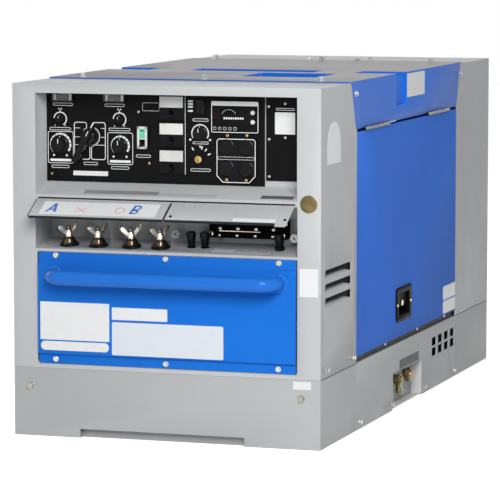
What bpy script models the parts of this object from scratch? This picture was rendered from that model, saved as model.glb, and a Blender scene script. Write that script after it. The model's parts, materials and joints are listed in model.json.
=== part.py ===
"""Engine driven welder in a sound-proof sheet-metal case.

Metres, +Z up.  The origin is at the centre of the base's underside, the
control side faces -Y and the right-hand side door faces +X.
"""

import math

import bpy
import bmesh
from mathutils import Matrix, Vector

OBJECT_NAME = "engine_driven_welder"

# ---- overall envelope -------------------------------------------------
WIDTH = 0.700
LENGTH = 1.470
BASE_HEIGHT = 0.150
HOUSING_TOP = 0.770
ROOF_STEP = 0.003
SHEET = 0.0023
FIT = 0.0003
WELD_FINE = 0.000001
WELD_COARSE = 0.00005
FLAT_ANGLE = 0.3
HALF_W = WIDTH / 2
FRONT = -LENGTH / 2
REAR = LENGTH / 2
INNER_X = HALF_W - SHEET

# ---- lengthwise division of the case ---------------------------------
FRONT_COLUMN = 0.270
REAR_COLUMN = 0.329
DOOR_FRONT = FRONT + FRONT_COLUMN
DOOR_REAR = REAR - REAR_COLUMN
BONNET_SIDE = 0.102
BONNET_RAKE = 0.039
FRONT_RAKE_FOOT = 0.007
REAR_RAKE_FOOT = 0.0
SKIRT_LAP = 0.003
BONNET_LOW = HOUSING_TOP - BONNET_SIDE
ROOF_TOP = HOUSING_TOP + ROOF_STEP
ROOF_LAP = 0.008

# ---- base -------------------------------------------------------------
PAN_HALF_W = HALF_W - 0.030
PAN_END_GAP = 0.015
PAN_HEIGHT = 0.060
PAN_FLOOR = 0.004
PAN_WALL = 0.003
BEARER_HALF_LENGTH = 0.230
BEARER_WIDTH = 0.050
BEARER_HEIGHT = 0.056
BEARER_STATIONS = (FRONT + 0.405, REAR - 0.405)
NOTCH_LEFT = -0.196
NOTCH_RIGHT = 0.179
NOTCH_HEIGHT = 0.019
LEDGE_WIDTH = 0.050
DRAIN_FRONT = DOOR_REAR - 0.570
DRAIN_REAR = DOOR_REAR - 0.311
DRAIN_HEIGHT = 0.085
DRAIN_DEPTH = HALF_W - PAN_HALF_W - SHEET - FIT
DRAIN_Z = 0.056
OIL_DRAIN_Y = DRAIN_REAR - 0.065
PLUG_STEM = (0.0080, 0.006)
PLUG_HEAD = (0.0145, 0.012)
PLUG_BOSS = (0.0115, 0.006)
PLUG_LAP = 0.001
COCK_BODY = (0.0100, 0.016)
COCK_NUT = (0.0135, 0.008)
COCK_NUT_OUT = 0.009
COCK_SPOUT = (0.0065, 0.034)
COCK_SPOUT_DROP = 0.016
COOLANT_DRAIN_Y = DRAIN_FRONT + 0.112
VENT_START = DOOR_REAR - 0.219
VENT_PITCH = 0.0575
VENT_LENGTH = 0.0385
VENT_ROWS = (0.078, 0.103)
VENT_HEIGHT = 0.0195
VENT_COLUMNS = 4

# ---- front frame ------------------------------------------------------
CONTROL_HALF_W = 0.297
CONTROL_LOW = 0.530
CONTROL_HIGH = 0.750
CONTROL_RISE = 0.024
PANEL_LOW = CONTROL_LOW + CONTROL_RISE
PANEL_SETBACK = 0.0665
PANEL_THICK = 0.0023
PANEL_CEILING = 0.7655
PANEL_SPLIT = 0.2055
SIDE_PANEL_LOW = 0.567
WINDOW_MARGIN = 0.012
BAY_HALF_W = 0.298
BAY_LOW = 0.412
BAY_HIGH = 0.518
BAY_DEPTH = 0.095
BAY_FLOOR_RISE = 0.016
COVER_LEFT = -0.291
COVER_RIGHT = 0.296
COVER_LOW = BASE_HEIGHT + 0.011
COVER_HIGH = 0.405
COVER_FLANGE = 0.022
COVER_CROWN = 0.007
COVER_GAP = 0.0015
COVER_LEDGE = 0.020
BAY_SILL = 0.003
HANDLE_LEFT = -0.252
HANDLE_RIGHT = 0.257
HANDLE_RADIUS = 0.0165
HANDLE_REACH = 0.040
HANDLE_BEND = 0.032
HANDLE_BEND_STEPS = 4
HANDLE_Z = 0.355

# ---- louvres in the front columns ------------------------------------
LOUVRE_FRONT = FRONT + 0.032
LOUVRE_REAR = FRONT + 0.228
LOUVRE_LOWS = (0.300, 0.330, 0.360)
LOUVRE_HEIGHT = 0.022
LOUVRE_INSET = 0.014
LOUVRE_CORNER = 0.006
LOUVRE_LEAN = 0.66
LOUVRE_FOOT = 0.002
LOUVRE_BLADE = 0.0015
LOUVRE_END_GAP = 0.0002

# ---- side doors -------------------------------------------------------
DOOR_LOW = BASE_HEIGHT + 0.015
DOOR_HIGH = 0.660
DOOR_EDGE_GAP = 0.001
DOOR_FOLD = 0.020
HINGE_X = HALF_W + 0.002
HINGE_Z = 0.6645
HINGE_STATIONS = (DOOR_FRONT + 0.150, DOOR_REAR - 0.174)
KNUCKLE_RADIUS = 0.0035
KNUCKLE_HALF = 0.018
PIN_RADIUS = 0.0020
HINGE_CLEARANCE = 0.0005
HINGE_END = 0.040
RAIL_DEPTH = 0.022
RAIL_HEIGHT = 0.031
RAIL_DROP = 0.002
LEAF_HALF_THICK = 0.0005
LEAF_ROOT_INSET = 0.002
LEAF_ROOT_RISE = 0.004
LATCH_Y = -0.076
LATCH_Z = 0.239
LATCH_LENGTH = 0.134
LATCH_HEIGHT = 0.080
LATCH_BODY_LENGTH = 0.094
LATCH_BODY_HEIGHT = 0.054
LATCH_BODY_DEPTH = 0.030
LATCH_WALL = 0.0015
LATCH_FLANGE = 0.0022
LATCH_CORNER = 0.012
PADDLE_HEIGHT = 0.032
PADDLE_DEPTHS = (0.006, 0.003)
PADDLE_MARGIN = 0.006
PADDLE_TOP_GAP = 0.003
PADDLE_PIVOT_RADIUS = 0.0028
PADDLE_LIP_DEPTHS = (0.010, 0.004)
PADDLE_LIP_HALF = 0.020
PADDLE_LIP_THICK = 0.003
PADDLE_PIVOT_IN = 0.0045
PADDLE_X = HALF_W - PADDLE_PIVOT_IN
PADDLE_Z = LATCH_Z + LATCH_BODY_HEIGHT / 2 - LATCH_WALL - PADDLE_PIVOT_IN

# ---- roof pockets -----------------------------------------------------
SLING_FRONT = -0.145
SLING_REAR = -0.058
SLING_DEPTH = 0.0105
SLING_LOW = 0.700
SLING_INNER_X = 0.247
EYE_SLOT_HALF = 0.151
EYE_SLOT_DEPTH = 0.058
FILLER_LEFT = 0.045
FILLER_RIGHT = 0.222
FILLER_FRONT = -0.365
FILLER_REAR = -0.195
FILLER_DEPTH = 0.055
FILLER_CENTRE = ((FILLER_LEFT + FILLER_RIGHT) / 2, (FILLER_FRONT + FILLER_REAR) / 2)
NECK_RADIUS = 0.030
NECK_ROOM = 0.002
CAP_RADIUS = 0.040
CAP_HEIGHT = 0.024

# ---- lifting frame ----------------------------------------------------
POST_X = HALF_W - LEDGE_WIDTH - FIT
POST_WIDTH = 0.026
POST_DEPTH = 0.036
BEAM_LOW = 0.640
BEAM_HEIGHT = 0.040
EYE_Y = (SLING_FRONT + SLING_REAR) / 2
EYE_HALF_W = 0.034
EYE_THICK = 0.012
EYE_TOP = 0.766
EYE_HOLE = 0.016
EYE_RIM = 0.010
EYE_ROOM = 0.003

# ---- rear air outlet --------------------------------------------------
OUTLET_SLOTS = 9
OUTLET_LOW = 0.250
OUTLET_PITCH = 0.042
OUTLET_SLOT = 0.020
OUTLET_HALF_W = 0.240

# ---- instruments ------------------------------------------------------
PANEL_FACE = FRONT + PANEL_SETBACK
PANEL_SPLIT_GAP = 0.0015
KNOB_SEGMENTS = 20
SHAFT_RADIUS = 0.004
SHAFT_LENGTH = 0.016
SHAFT_CLEARANCE = 0.0006
SHAFT_LAP = 0.001
RIB_HALF = 0.0012
RIB_SINK = 0.003
RIB_SPAN = (0.20, 0.78)
CAP_SHARE = 0.82
SHOULDER_SHARE = 0.90
SHOULDER_DROP = 0.0015
DIALS = (
    ("fine_dial_left", (-0.265, 0.690), 0.0088, 0.012),
    ("fine_dial_right", (-0.127, 0.691), 0.0088, 0.012),
    ("output_dial_left", (-0.265, 0.634), 0.0190, 0.015),
    ("output_dial_right", (-0.126, 0.634), 0.0170, 0.015),
    ("throttle_dial", (0.058, 0.665), 0.0165, 0.014),
)
SELECTOR = (-0.194, 0.653)
LEVER_LENGTH = 0.061
LEVER_LEAN = 32.0
LEVER_TAIL = 0.020
LEVER_ROOT_HALF = 0.0085
LEVER_TAIL_HALF = 0.0075
LEVER_TIP_HALF = 0.0060
LEVER_POINT_HALF = 0.0035
LEVER_POINT = 0.004
LEVER_OUT = (0.034, 0.018)
SELECTOR_RADIUS = 0.0190
SELECTOR_TOP_RADIUS = 0.016
SELECTOR_HALF = 0.010
SELECTOR_SHOULDER = 0.006
MODULES = (
    (-0.005, 0.719, 0.0270, 0.0250),
    (-0.005, 0.661, 0.0270, 0.0250),
    (-0.005, 0.6025, 0.0270, 0.0250),
    (-0.072, 0.6535, 0.0120, 0.0245),
)
MODULE_PROUD = 0.008
NECK_INSET = 0.006
TOGGLE_HALF = 0.0045
TOGGLE_ROOM = 0.0006
TOGGLE_DROP = 0.0125
TOGGLE_SLOT = 0.0085
TOGGLE_REACH = 0.011
TOGGLE_LEAN = 25.0
TOGGLE_IN = 0.0045
ROLLER_RADIUS = 0.0035
STICK_HALF = 0.0025
BANK_RAIL = (0.004, 0.016)
BANK_LAP = 0.002
ROCKER_X = (0.050, 0.068)
ROCKER_Z = (0.704, 0.740)
ROCKER_ROOM = 0.0006
ROCKER_BACK = 0.008
ROCKER_PROUD = 0.006
ROCKER_WAIST = 0.003
ROCKER_EDGE = 0.001
ROCKER_SHARES = (0.55, 0.93, 0.90)
KEY_PLACE = (0.055, 0.609)
KEY_BARREL = 0.0060
KEY_RING = 0.0083
KEY_NOSE = 0.0075
KEY_PROUD = 0.006
KEY_DEPTH = 0.016
KEY_SLOT_HALF = (0.0011, 0.0045)
KEY_SLOT_OUT = (0.010, 0.002)
MONITOR_X = (0.085, 0.192)
MONITOR_Z = (0.668, 0.736)
MONITOR_PROUD = 0.006
BUTTONS = ((0.179, 0.712), (0.179, 0.692))
BUTTON_RADIUS = 0.005
BUTTON_ROOM = 0.0005
BUTTON_WELL = 0.004
BUTTON_TRAVEL = 0.0015
BUTTON_PROUD = 0.002
OUTLET_X = (0.096, 0.186)
OUTLET_Z = (0.560, 0.656)
OUTLET_CHAMFER = 0.014
OUTLET_PROUD = 0.005
OUTLET_COLUMNS = (0.1185, 0.162)
OUTLET_ROWS = (0.5905, 0.6365)
OUTLET_RADIUS = 0.0185
OUTLET_SINK = 0.002

# ---- terminal bay -----------------------------------------------------
BAY_FRONT = FRONT + SHEET + FIT
BAY_TILT = math.atan2(BAY_FLOOR_RISE, BAY_DEPTH)
BAY_HEADROOM = 0.002
TERMINALS = (-0.233, -0.165, -0.0885, -0.022)
TERMINAL_BACK = 0.0350
COLUMN_RADIUS = 0.011
COLUMN_ROOM = 0.0006
BOARD_THICK = 0.005
BOARD_MARGIN = 0.022
BOARD_HALF = 0.018
COLUMN_LENGTH = 0.010
COLUMN_DROP = 0.002
BASE_CONE = 0.019
BASE_RADIUS = 0.0205
BASE_RIM = 0.004
BASE_TOP_RADIUS = 0.0100
STUD_RADIUS = 0.005
STUD_LENGTH = 0.034
WASHER_RADIUS = 0.0098
WASHER_THICK = 0.002
HUB_RADIUS = 0.0078
HUB_TOP_RADIUS = 0.0064
HUB_HEIGHT = 0.016
WING_HALF_THICK = 0.0027
WING_OUTLINE = ((0.004, 0.003), (0.0075, 0.003), (0.0245, 0.021), (0.0250, 0.027),
                (0.0205, 0.029), (0.0165, 0.027), (0.004, 0.013))
NUT_CLEARANCE = 0.0006
NUT_TURNS = (44.0, 52.0, 42.0, 54.0)
SCREW_CAPS = (0.0435, 0.0745, 0.2430)
SCREW_CAP_BACK = 0.0500
SCREW_CAP_HEIGHT = 0.035
SCREW_CAP_RADIUS = 0.0110
SCREW_CAP_FOOT = 0.0070
SCREW_CAP_TOP = 0.9
BLOCK_X = (0.076, 0.252)
BLOCK_Z = (0.441, 0.480)
BLOCK_DEPTH = 0.024
BLOCK_STEP = 0.006
BLOCK_STEP_HEIGHT = 0.013
FLAPS = (("terminal_flap_left", (-0.291, 0.015)), ("terminal_flap_right", (0.020, 0.293)))
FLAP_ROD = 0.0025
FLAP_Z = 0.519
FLAP_SHEET = 0.0016
FLAP_LENGTH = 0.063
FLAP_LIP = 0.007
FLAP_OPEN = 60.0

# ---- machinery inside -------------------------------------------------
SHAFT_Z = 0.262
GENERATOR_RADIUS = 0.145
GENERATOR_FRONT = FRONT + 0.305
GENERATOR_REAR = -0.020
FLANGE_PROUD = 0.020
FLANGE_LENGTH = 0.020
FOOT_HALF = 0.018
GENERATOR_FOOT_HALF = 0.150
GENERATOR_FOOT_TOP = 0.7
ENGINE_REAR = REAR - 0.320
ENGINE_TOP = 0.560
ENGINE_HALF = 0.140
ENGINE_BELOW = 0.120
HEAD_HALF = 0.110
HEAD_HEIGHT = 0.080
HEAD_ENDS = (0.040, 0.020)
SUMP_HALF = 0.105
SUMP_BELOW = 0.180
SUMP_ENDS = (0.060, 0.040)
ENGINE_FOOT_HALF = 0.200
ENGINE_LAP = 0.010
MUFFLER_RADIUS = 0.050
MUFFLER_HALF = 0.200
MUFFLER_Y = 0.200
MUFFLER_Z = 0.625
SADDLE_HALF = (0.060, 0.040)
FAN_Z = 0.330
FAN_DEPTH = 0.036
FAN_RADIUS = 0.165
FAN_BLADES = 6
FAN_HUB = 0.045
BLADE_ROOT = 0.030
BLADE_HALF = (0.030, 0.0015)
BLADE_PITCH = 28.0
RADIATOR_HALF = 0.260
RADIATOR_Y = (REAR - 0.215, REAR - 0.155)
RADIATOR_TOP = 0.600
HEADER_PROUD = 0.010
HEADER_DEPTH = 0.050
BATTERY_X = (-0.300, -0.100)
BATTERY_Y = (FRONT + 0.115, FRONT + 0.235)
BATTERY_TOP = 0.205
POST_RADIUS = 0.008
POST_LENGTH = 0.020
POST_SINK = 0.003
POST_MARGIN = (0.030, 0.025)
TANK_HALF = 0.230
TANK_Y = (BATTERY_Y[1] + 0.060, BEARER_STATIONS[0] + 0.170)
TANK_Z = (0.470, 0.635)
NECK_RISE = 0.010
LEG_FRONT = 0.012
LEG_WIDTH = 0.025
LEG_THICK = 0.004
TANK_LAP = 0.010
CAP_SHOULDER = 0.004
CAP_GRIP = (0.028, 0.005, 0.008)
GRIP_SINK = 0.002

# ---- finishes ---------------------------------------------------------
STEEL = (0.62, 0.62, 0.60)
GREY_PAINT = (0.46, 0.47, 0.47)
BLUE_PAINT = (0.03, 0.16, 0.62)
BLACK_PLASTIC = (0.012, 0.012, 0.013)


# ======================================================================
# scene and modelling helpers
# ======================================================================

def clear_scene():
    """Remove every object the file starts with."""
    for item in list(bpy.data.objects):
        bpy.data.objects.remove(item, do_unlink=True)


def new_collection(name):
    """Make a collection under the scene and return it."""
    group = bpy.data.collections.new(name)
    bpy.context.scene.collection.children.link(group)
    return group


def principled(name, colour, roughness=0.4, metallic=0.0):
    """Return a material with one Principled shader."""
    material = bpy.data.materials.new(name)
    material.use_nodes = True
    shader = material.node_tree.nodes["Principled BSDF"]
    shader.inputs["Base Color"].default_value = (*colour, 1.0)
    shader.inputs["Roughness"].default_value = roughness
    shader.inputs["Metallic"].default_value = metallic
    return material


def adopt(piece, name):
    """Name a new object and move it into the welder's collection."""
    piece.name = name
    piece.data.name = name
    for group in list(piece.users_collection):
        group.objects.unlink(piece)
    PARTS.objects.link(piece)
    return piece


def mesh_object(name, work):
    """Turn a bmesh into an object of the welder."""
    mesh = bpy.data.meshes.new(name)
    bmesh.ops.recalc_face_normals(work, faces=work.faces)
    work.to_mesh(mesh)
    work.free()
    piece = bpy.data.objects.new(name, mesh)
    PARTS.objects.link(piece)
    return piece


def block(name, x, y, z):
    """Return a box between three (low, high) pairs."""
    lows = Vector((x[0], y[0], z[0]))
    highs = Vector((x[1], y[1], z[1]))
    work = bmesh.new()
    bmesh.ops.create_cube(work, size=1.0)
    bmesh.ops.scale(work, vec=highs - lows, verts=work.verts)
    piece = mesh_object(name, work)
    piece.location = (lows + highs) / 2
    return piece


def turn_to(axis):
    """Return the rotation that takes +Z to an axis named by a letter."""
    if axis == "X":
        return Matrix.Rotation(math.radians(90), 3, "Y")
    if axis == "Y":
        return Matrix.Rotation(math.radians(90), 3, "X")
    return Matrix.Identity(3)


def cone(name, radius_low, radius_high, length, centre, axis="Z", segments=24):
    """Return a closed cylinder or cone centred on a point."""
    work = bmesh.new()
    bmesh.ops.create_cone(work, cap_ends=True, segments=segments, radius1=radius_low,
                          radius2=radius_high, depth=length)
    bmesh.ops.rotate(work, cent=(0, 0, 0), matrix=turn_to(axis), verts=work.verts)
    piece = mesh_object(name, work)
    piece.location = centre
    return piece


def rod(name, radius, length, centre, axis="Z", segments=24):
    """Return a cylinder centred on a point."""
    return cone(name, radius, radius, length, centre, axis, segments)


def turned(name, profile, centre, axis="Z", segments=24):
    """Revolve (radius, height) points, given from top to bottom, about an axis."""
    mesh = bpy.data.meshes.new(name)
    points = [(radius, 0.0, height) for radius, height in profile]
    edges = [(i, i + 1) for i in range(len(points) - 1)]
    mesh.from_pydata(points, edges, [])
    piece = bpy.data.objects.new(name, mesh)
    PARTS.objects.link(piece)
    screw = piece.modifiers.new("revolve", "SCREW")
    screw.axis = "Z"
    screw.steps = segments
    screw.render_steps = segments
    screw.use_merge_vertices = True
    screw.merge_threshold = WELD_COARSE
    bake(piece)
    piece.data.transform(turn_to(axis).to_4x4())
    piece.location = centre
    return piece


def prism(name, outline, low, high, axis):
    """Extrude a flat outline along an axis, from low to high.

    The outline is in (y, z) for X, (x, z) for Y and (x, y) for Z.
    """
    flat = bpy.data.curves.new(name, "CURVE")
    flat.dimensions = "2D"
    flat.fill_mode = "BOTH"
    flat.extrude = (high - low) / 2
    spline = flat.splines.new("POLY")
    spline.points.add(len(outline) - 1)
    for point, (a, b) in zip(spline.points, outline):
        point.co = (a, b, 0.0, 1.0)
    spline.use_cyclic_u = True
    guide = bpy.data.objects.new(name, flat)
    PARTS.objects.link(guide)
    graph = bpy.context.evaluated_depsgraph_get()
    mesh = bpy.data.meshes.new_from_object(guide.evaluated_get(graph))
    bpy.data.objects.remove(guide, do_unlink=True)
    work = bmesh.new()
    work.from_mesh(mesh)
    bpy.data.meshes.remove(mesh)
    bmesh.ops.remove_doubles(work, verts=work.verts, dist=WELD_FINE)
    middle = (low + high) / 2
    place = {
        "X": Matrix(((0, 0, 1, middle), (1, 0, 0, 0), (0, 1, 0, 0), (0, 0, 0, 1))),
        "Y": Matrix(((1, 0, 0, 0), (0, 0, -1, middle), (0, 1, 0, 0), (0, 0, 0, 1))),
        "Z": Matrix.Translation((0, 0, middle)),
    }
    bmesh.ops.transform(work, matrix=place[axis], verts=work.verts)
    return mesh_object(name, work)


def tube(name, points, radius, sides=3):
    """Sweep a round bar along a list of points."""
    wire = bpy.data.curves.new(name, "CURVE")
    wire.dimensions = "3D"
    wire.bevel_depth = radius
    wire.bevel_resolution = sides
    wire.use_fill_caps = True
    spline = wire.splines.new("POLY")
    spline.points.add(len(points) - 1)
    for point, place in zip(spline.points, points):
        point.co = (*place, 1.0)
    guide = bpy.data.objects.new(name, wire)
    PARTS.objects.link(guide)
    graph = bpy.context.evaluated_depsgraph_get()
    mesh = bpy.data.meshes.new_from_object(guide.evaluated_get(graph))
    bpy.data.objects.remove(guide, do_unlink=True)
    work = bmesh.new()
    work.from_mesh(mesh)
    bpy.data.meshes.remove(mesh)
    bmesh.ops.remove_doubles(work, verts=work.verts, dist=WELD_FINE)
    return mesh_object(name, work)


def rounded_outline(half_a, half_b, radius, steps=4):
    """Return a rectangle outline with rounded corners, about the origin."""
    corners = ((1, 1, 0), (-1, 1, 90), (-1, -1, 180), (1, -1, 270))
    points = []
    for side_a, side_b, start in corners:
        for step in range(steps + 1):
            angle = math.radians(start + 90 * step / steps)
            points.append((side_a * (half_a - radius) + radius * math.cos(angle),
                           side_b * (half_b - radius) + radius * math.sin(angle)))
    return points


def shifted(outline, move_a, move_b):
    """Return an outline moved in its own plane."""
    return [(a + move_a, b + move_b) for a, b in outline]


def bake(piece):
    """Replace an object's mesh by its evaluated mesh and drop the modifiers."""
    graph = bpy.context.evaluated_depsgraph_get()
    evaluated = piece.evaluated_get(graph)
    mesh = bpy.data.meshes.new_from_object(evaluated)
    old = piece.data
    piece.modifiers.clear()
    piece.data = mesh
    bpy.data.meshes.remove(old)
    return piece


def combine(body, tools, operation):
    """Join the tools to a body, or cut them from it, and remove the tools."""
    for tool in tools:
        modifier = body.modifiers.new(operation.lower(), "BOOLEAN")
        modifier.operation = operation
        modifier.solver = "EXACT"
        modifier.object = tool
        bpy.context.view_layer.update()
        bake(body)
        bpy.data.objects.remove(tool, do_unlink=True)
    return body


def fuse(body, *tools):
    """Weld pieces into one body."""
    return combine(body, tools, "UNION")


def carve(body, *tools):
    """Cut pieces out of a body."""
    return combine(body, tools, "DIFFERENCE")


def finish(piece, name, material, pivot=None, smooth=False):
    """Name a piece, give it its material, clean its mesh and set its origin."""
    adopt(piece, name)
    origin = piece.location.copy() if pivot is None else Vector(pivot)
    piece.data.transform(Matrix.Translation(piece.location - origin))
    piece.location = origin
    work = bmesh.new()
    work.from_mesh(piece.data)
    bmesh.ops.remove_doubles(work, verts=work.verts, dist=2 * WELD_FINE)
    bmesh.ops.dissolve_limit(work, angle_limit=math.radians(FLAT_ANGLE), verts=work.verts,
                             edges=work.edges)
    work.to_mesh(piece.data)
    work.free()
    piece.data.materials.clear()
    piece.data.materials.append(material)
    if smooth:
        piece.data.shade_smooth()
        piece.data.set_sharp_from_angle(angle=math.radians(35))
    return piece


def mirrored(piece, name):
    """Return a copy of a piece on the other side of the welder."""
    bpy.context.view_layer.update()
    mesh = piece.data.copy()
    mesh.transform(piece.matrix_world)
    mesh.transform(Matrix.Scale(-1, 4, (1, 0, 0)))
    mesh.flip_normals()
    twin = bpy.data.objects.new(name, mesh)
    PARTS.objects.link(twin)
    return twin


# ======================================================================
# base
# ======================================================================

def make_base_pan():
    """Return the open-topped tray that carries the engine and generator."""
    ends = (FRONT + PAN_END_GAP, REAR - PAN_END_GAP)
    pan = block("pan", (-PAN_HALF_W, PAN_HALF_W), ends, (0, PAN_HEIGHT))
    hollow = block("hollow", (-PAN_HALF_W + PAN_WALL, PAN_HALF_W - PAN_WALL),
                   (ends[0] + PAN_WALL, ends[1] - PAN_WALL), (PAN_FLOOR, PAN_HEIGHT + SHEET))
    carve(pan, hollow)
    for station in BEARER_STATIONS:
        bearer = block("bearer", (-BEARER_HALF_LENGTH, BEARER_HALF_LENGTH),
                       (station - BEARER_WIDTH / 2, station + BEARER_WIDTH / 2),
                       (PAN_FLOOR / 2, BEARER_HEIGHT))
        fuse(pan, bearer)
    finish(pan, "base_pan", principled("pan_paint", GREY_PAINT, 0.5))


def end_skirt(outer_end, inner_end):
    """Return a U-shaped skirt around one end of the base, with a foot flange."""
    ends = sorted((outer_end, inner_end))
    toward = 1 if inner_end > outer_end else -1
    skirt = block("skirt", (-HALF_W, HALF_W), ends, (0, BASE_HEIGHT))
    hollow_ends = sorted((outer_end + toward * SHEET, inner_end + toward * SHEET))
    hollow = block("hollow", (-INNER_X, INNER_X), hollow_ends, (SHEET, BASE_HEIGHT + SHEET))
    pan_ends = sorted((outer_end + toward * (PAN_END_GAP - FIT), inner_end + toward * SHEET))
    pan_room = block("pan_room", (-PAN_HALF_W - FIT, PAN_HALF_W + FIT), pan_ends,
                     (-SHEET, 2 * SHEET))
    return carve(skirt, hollow, pan_room)


def make_base_skirts():
    """Make the front and rear ends of the base's outer wall."""
    front = end_skirt(FRONT, DOOR_FRONT + SKIRT_LAP - FIT)
    notch = block("notch", (NOTCH_LEFT, NOTCH_RIGHT), (FRONT - SHEET, FRONT + PAN_END_GAP),
                  (-SHEET, NOTCH_HEIGHT))
    carve(front, notch)
    finish(front, "base_front_skirt", principled("front_skirt_paint", GREY_PAINT))
    rear = end_skirt(REAR, DOOR_REAR + SKIRT_LAP + FIT)
    finish(rear, "base_rear_skirt", principled("rear_skirt_paint", GREY_PAINT))


def side_cover():
    """Return the right-hand side cover of the base with its vents."""
    ends = (DOOR_FRONT + SKIRT_LAP, DOOR_REAR + SKIRT_LAP)
    cover = block("cover", (PAN_HALF_W + FIT, HALF_W), ends, (0, BASE_HEIGHT))
    hollow = block("hollow", (PAN_HALF_W, INNER_X), (ends[0] - SHEET, ends[1] + SHEET),
                   (SHEET, BASE_HEIGHT + SHEET))
    carve(cover, hollow)
    ledge = block("ledge", (HALF_W - LEDGE_WIDTH, HALF_W - SHEET / 2), ends,
                  (BASE_HEIGHT - SHEET, BASE_HEIGHT))
    fuse(cover, ledge)
    vents = []
    for column in range(VENT_COLUMNS):
        start = VENT_START + column * VENT_PITCH
        for low in VENT_ROWS:
            vents.append(block("vent", (INNER_X - SHEET, HALF_W + SHEET),
                               (start, start + VENT_LENGTH), (low, low + VENT_HEIGHT)))
    return carve(cover, *vents)


def make_base_side_covers():
    """Make both side covers; the right one has the drain recess."""
    plain = side_cover()
    left = mirrored(plain, "left_cover")
    finish(left, "base_side_cover_left", principled("left_cover_paint", GREY_PAINT))
    back_x = HALF_W - DRAIN_DEPTH
    box = block("drain_box", (back_x - SHEET, HALF_W - SHEET / 2),
                (DRAIN_FRONT - SHEET, DRAIN_REAR + SHEET), (0, DRAIN_HEIGHT + SHEET))
    fuse(plain, box)
    room = block("drain_room", (back_x, HALF_W + SHEET), (DRAIN_FRONT, DRAIN_REAR),
                 (-SHEET, DRAIN_HEIGHT))
    carve(plain, room)
    finish(plain, "base_side_cover_right", principled("right_cover_paint", GREY_PAINT))


def make_drain_fittings():
    """Make the brass oil plug and the coolant drain body in the recess."""
    seat = HALF_W - DRAIN_DEPTH + FIT
    out = seat
    parts = []
    for (radius, length), lap, sides in ((PLUG_STEM, 0.0, 16), (PLUG_HEAD, PLUG_LAP, 6),
                                         (PLUG_BOSS, PLUG_LAP, 16)):
        start = out - lap
        parts.append(rod("plug", radius, length, (start + length / 2, OIL_DRAIN_Y, DRAIN_Z), "X",
                         sides))
        out = start + length
    plug = fuse(*parts)
    finish(plug, "oil_drain_plug", principled("brass", (0.45, 0.25, 0.07), 0.35, 1.0), smooth=True)
    body = rod("body", *COCK_BODY, (seat + COCK_BODY[1] / 2, COOLANT_DRAIN_Y, DRAIN_Z), "X", 16)
    nut = rod("nut", *COCK_NUT, (seat + COCK_NUT_OUT + COCK_NUT[1] / 2, COOLANT_DRAIN_Y, DRAIN_Z),
              "X", 6)
    spout = rod("spout", *COCK_SPOUT, (seat + COCK_BODY[0], COOLANT_DRAIN_Y,
                DRAIN_Z - COCK_SPOUT_DROP), "Z", 16)
    fuse(body, nut, spout)
    finish(body, "coolant_drain_cock", principled("olive_brass", (0.22, 0.19, 0.08), 0.4, 1.0),
           smooth=True)


# ======================================================================
# case
# ======================================================================

def column_outline(outer, door_edge):
    """Return a side wall's outline in (y, z), with the bonnet's rake cut away."""
    toward = 1 if door_edge > outer else -1
    rake_foot = FRONT_RAKE_FOOT if toward > 0 else REAR_RAKE_FOOT
    foot = BASE_HEIGHT + FIT
    return [(outer, foot), (door_edge, foot), (door_edge, BONNET_LOW - FIT),
            (door_edge - toward * (rake_foot + FIT), BONNET_LOW - FIT),
            (door_edge - toward * (rake_foot + BONNET_RAKE + FIT), HOUSING_TOP),
            (outer, HOUSING_TOP)]


def housing_shell(outer, door_edge):
    """Return the side walls, end wall and roof strip of one end of the case."""
    toward = 1 if door_edge > outer else -1
    outline = column_outline(outer, door_edge)
    shell = prism("wall", outline, INNER_X, HALF_W, "X")
    other = prism("wall", outline, -HALF_W, -INNER_X, "X")
    end_y = sorted((outer, outer + toward * SHEET))
    end_wall = block("end_wall", (-HALF_W, HALF_W), end_y, (BASE_HEIGHT + FIT, HOUSING_TOP))
    roof_y = sorted((outer, outline[4][0]))
    roof = block("roof", (-HALF_W, HALF_W), roof_y, (HOUSING_TOP - SHEET, HOUSING_TOP))
    return fuse(shell, end_wall, other, roof)


def louvre_cut(side, low):
    """Return the opening of one pressed louvre, with its upper front corner rounded."""
    length = LOUVRE_REAR - LOUVRE_FRONT
    outline = rounded_outline(length / 2, LOUVRE_HEIGHT / 2, LOUVRE_CORNER, 2)
    middle = (LOUVRE_FRONT + LOUVRE_REAR) / 2
    place = shifted(outline, middle, low + LOUVRE_HEIGHT / 2)
    ends = sorted((side * (INNER_X - SHEET), side * (HALF_W + SHEET)))
    return prism("louvre", place, ends[0], ends[1], "X")


def louvre_blade(side, low):
    """Return the blade that leans inward from the foot of a louvre's opening."""
    lean = LOUVRE_HEIGHT * LOUVRE_LEAN
    foot = low - LOUVRE_FOOT
    outline = [(HALF_W, foot), (HALF_W, low), (INNER_X - LOUVRE_INSET, low + lean),
               (INNER_X - LOUVRE_INSET - LOUVRE_BLADE, low + lean - 2 * LOUVRE_BLADE / 3), (INNER_X, foot)]
    outline = [(side * x, z) for x, z in outline]
    return prism("blade", outline, LOUVRE_FRONT + LOUVRE_END_GAP, LOUVRE_REAR - LOUVRE_END_GAP, "Y")


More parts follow.
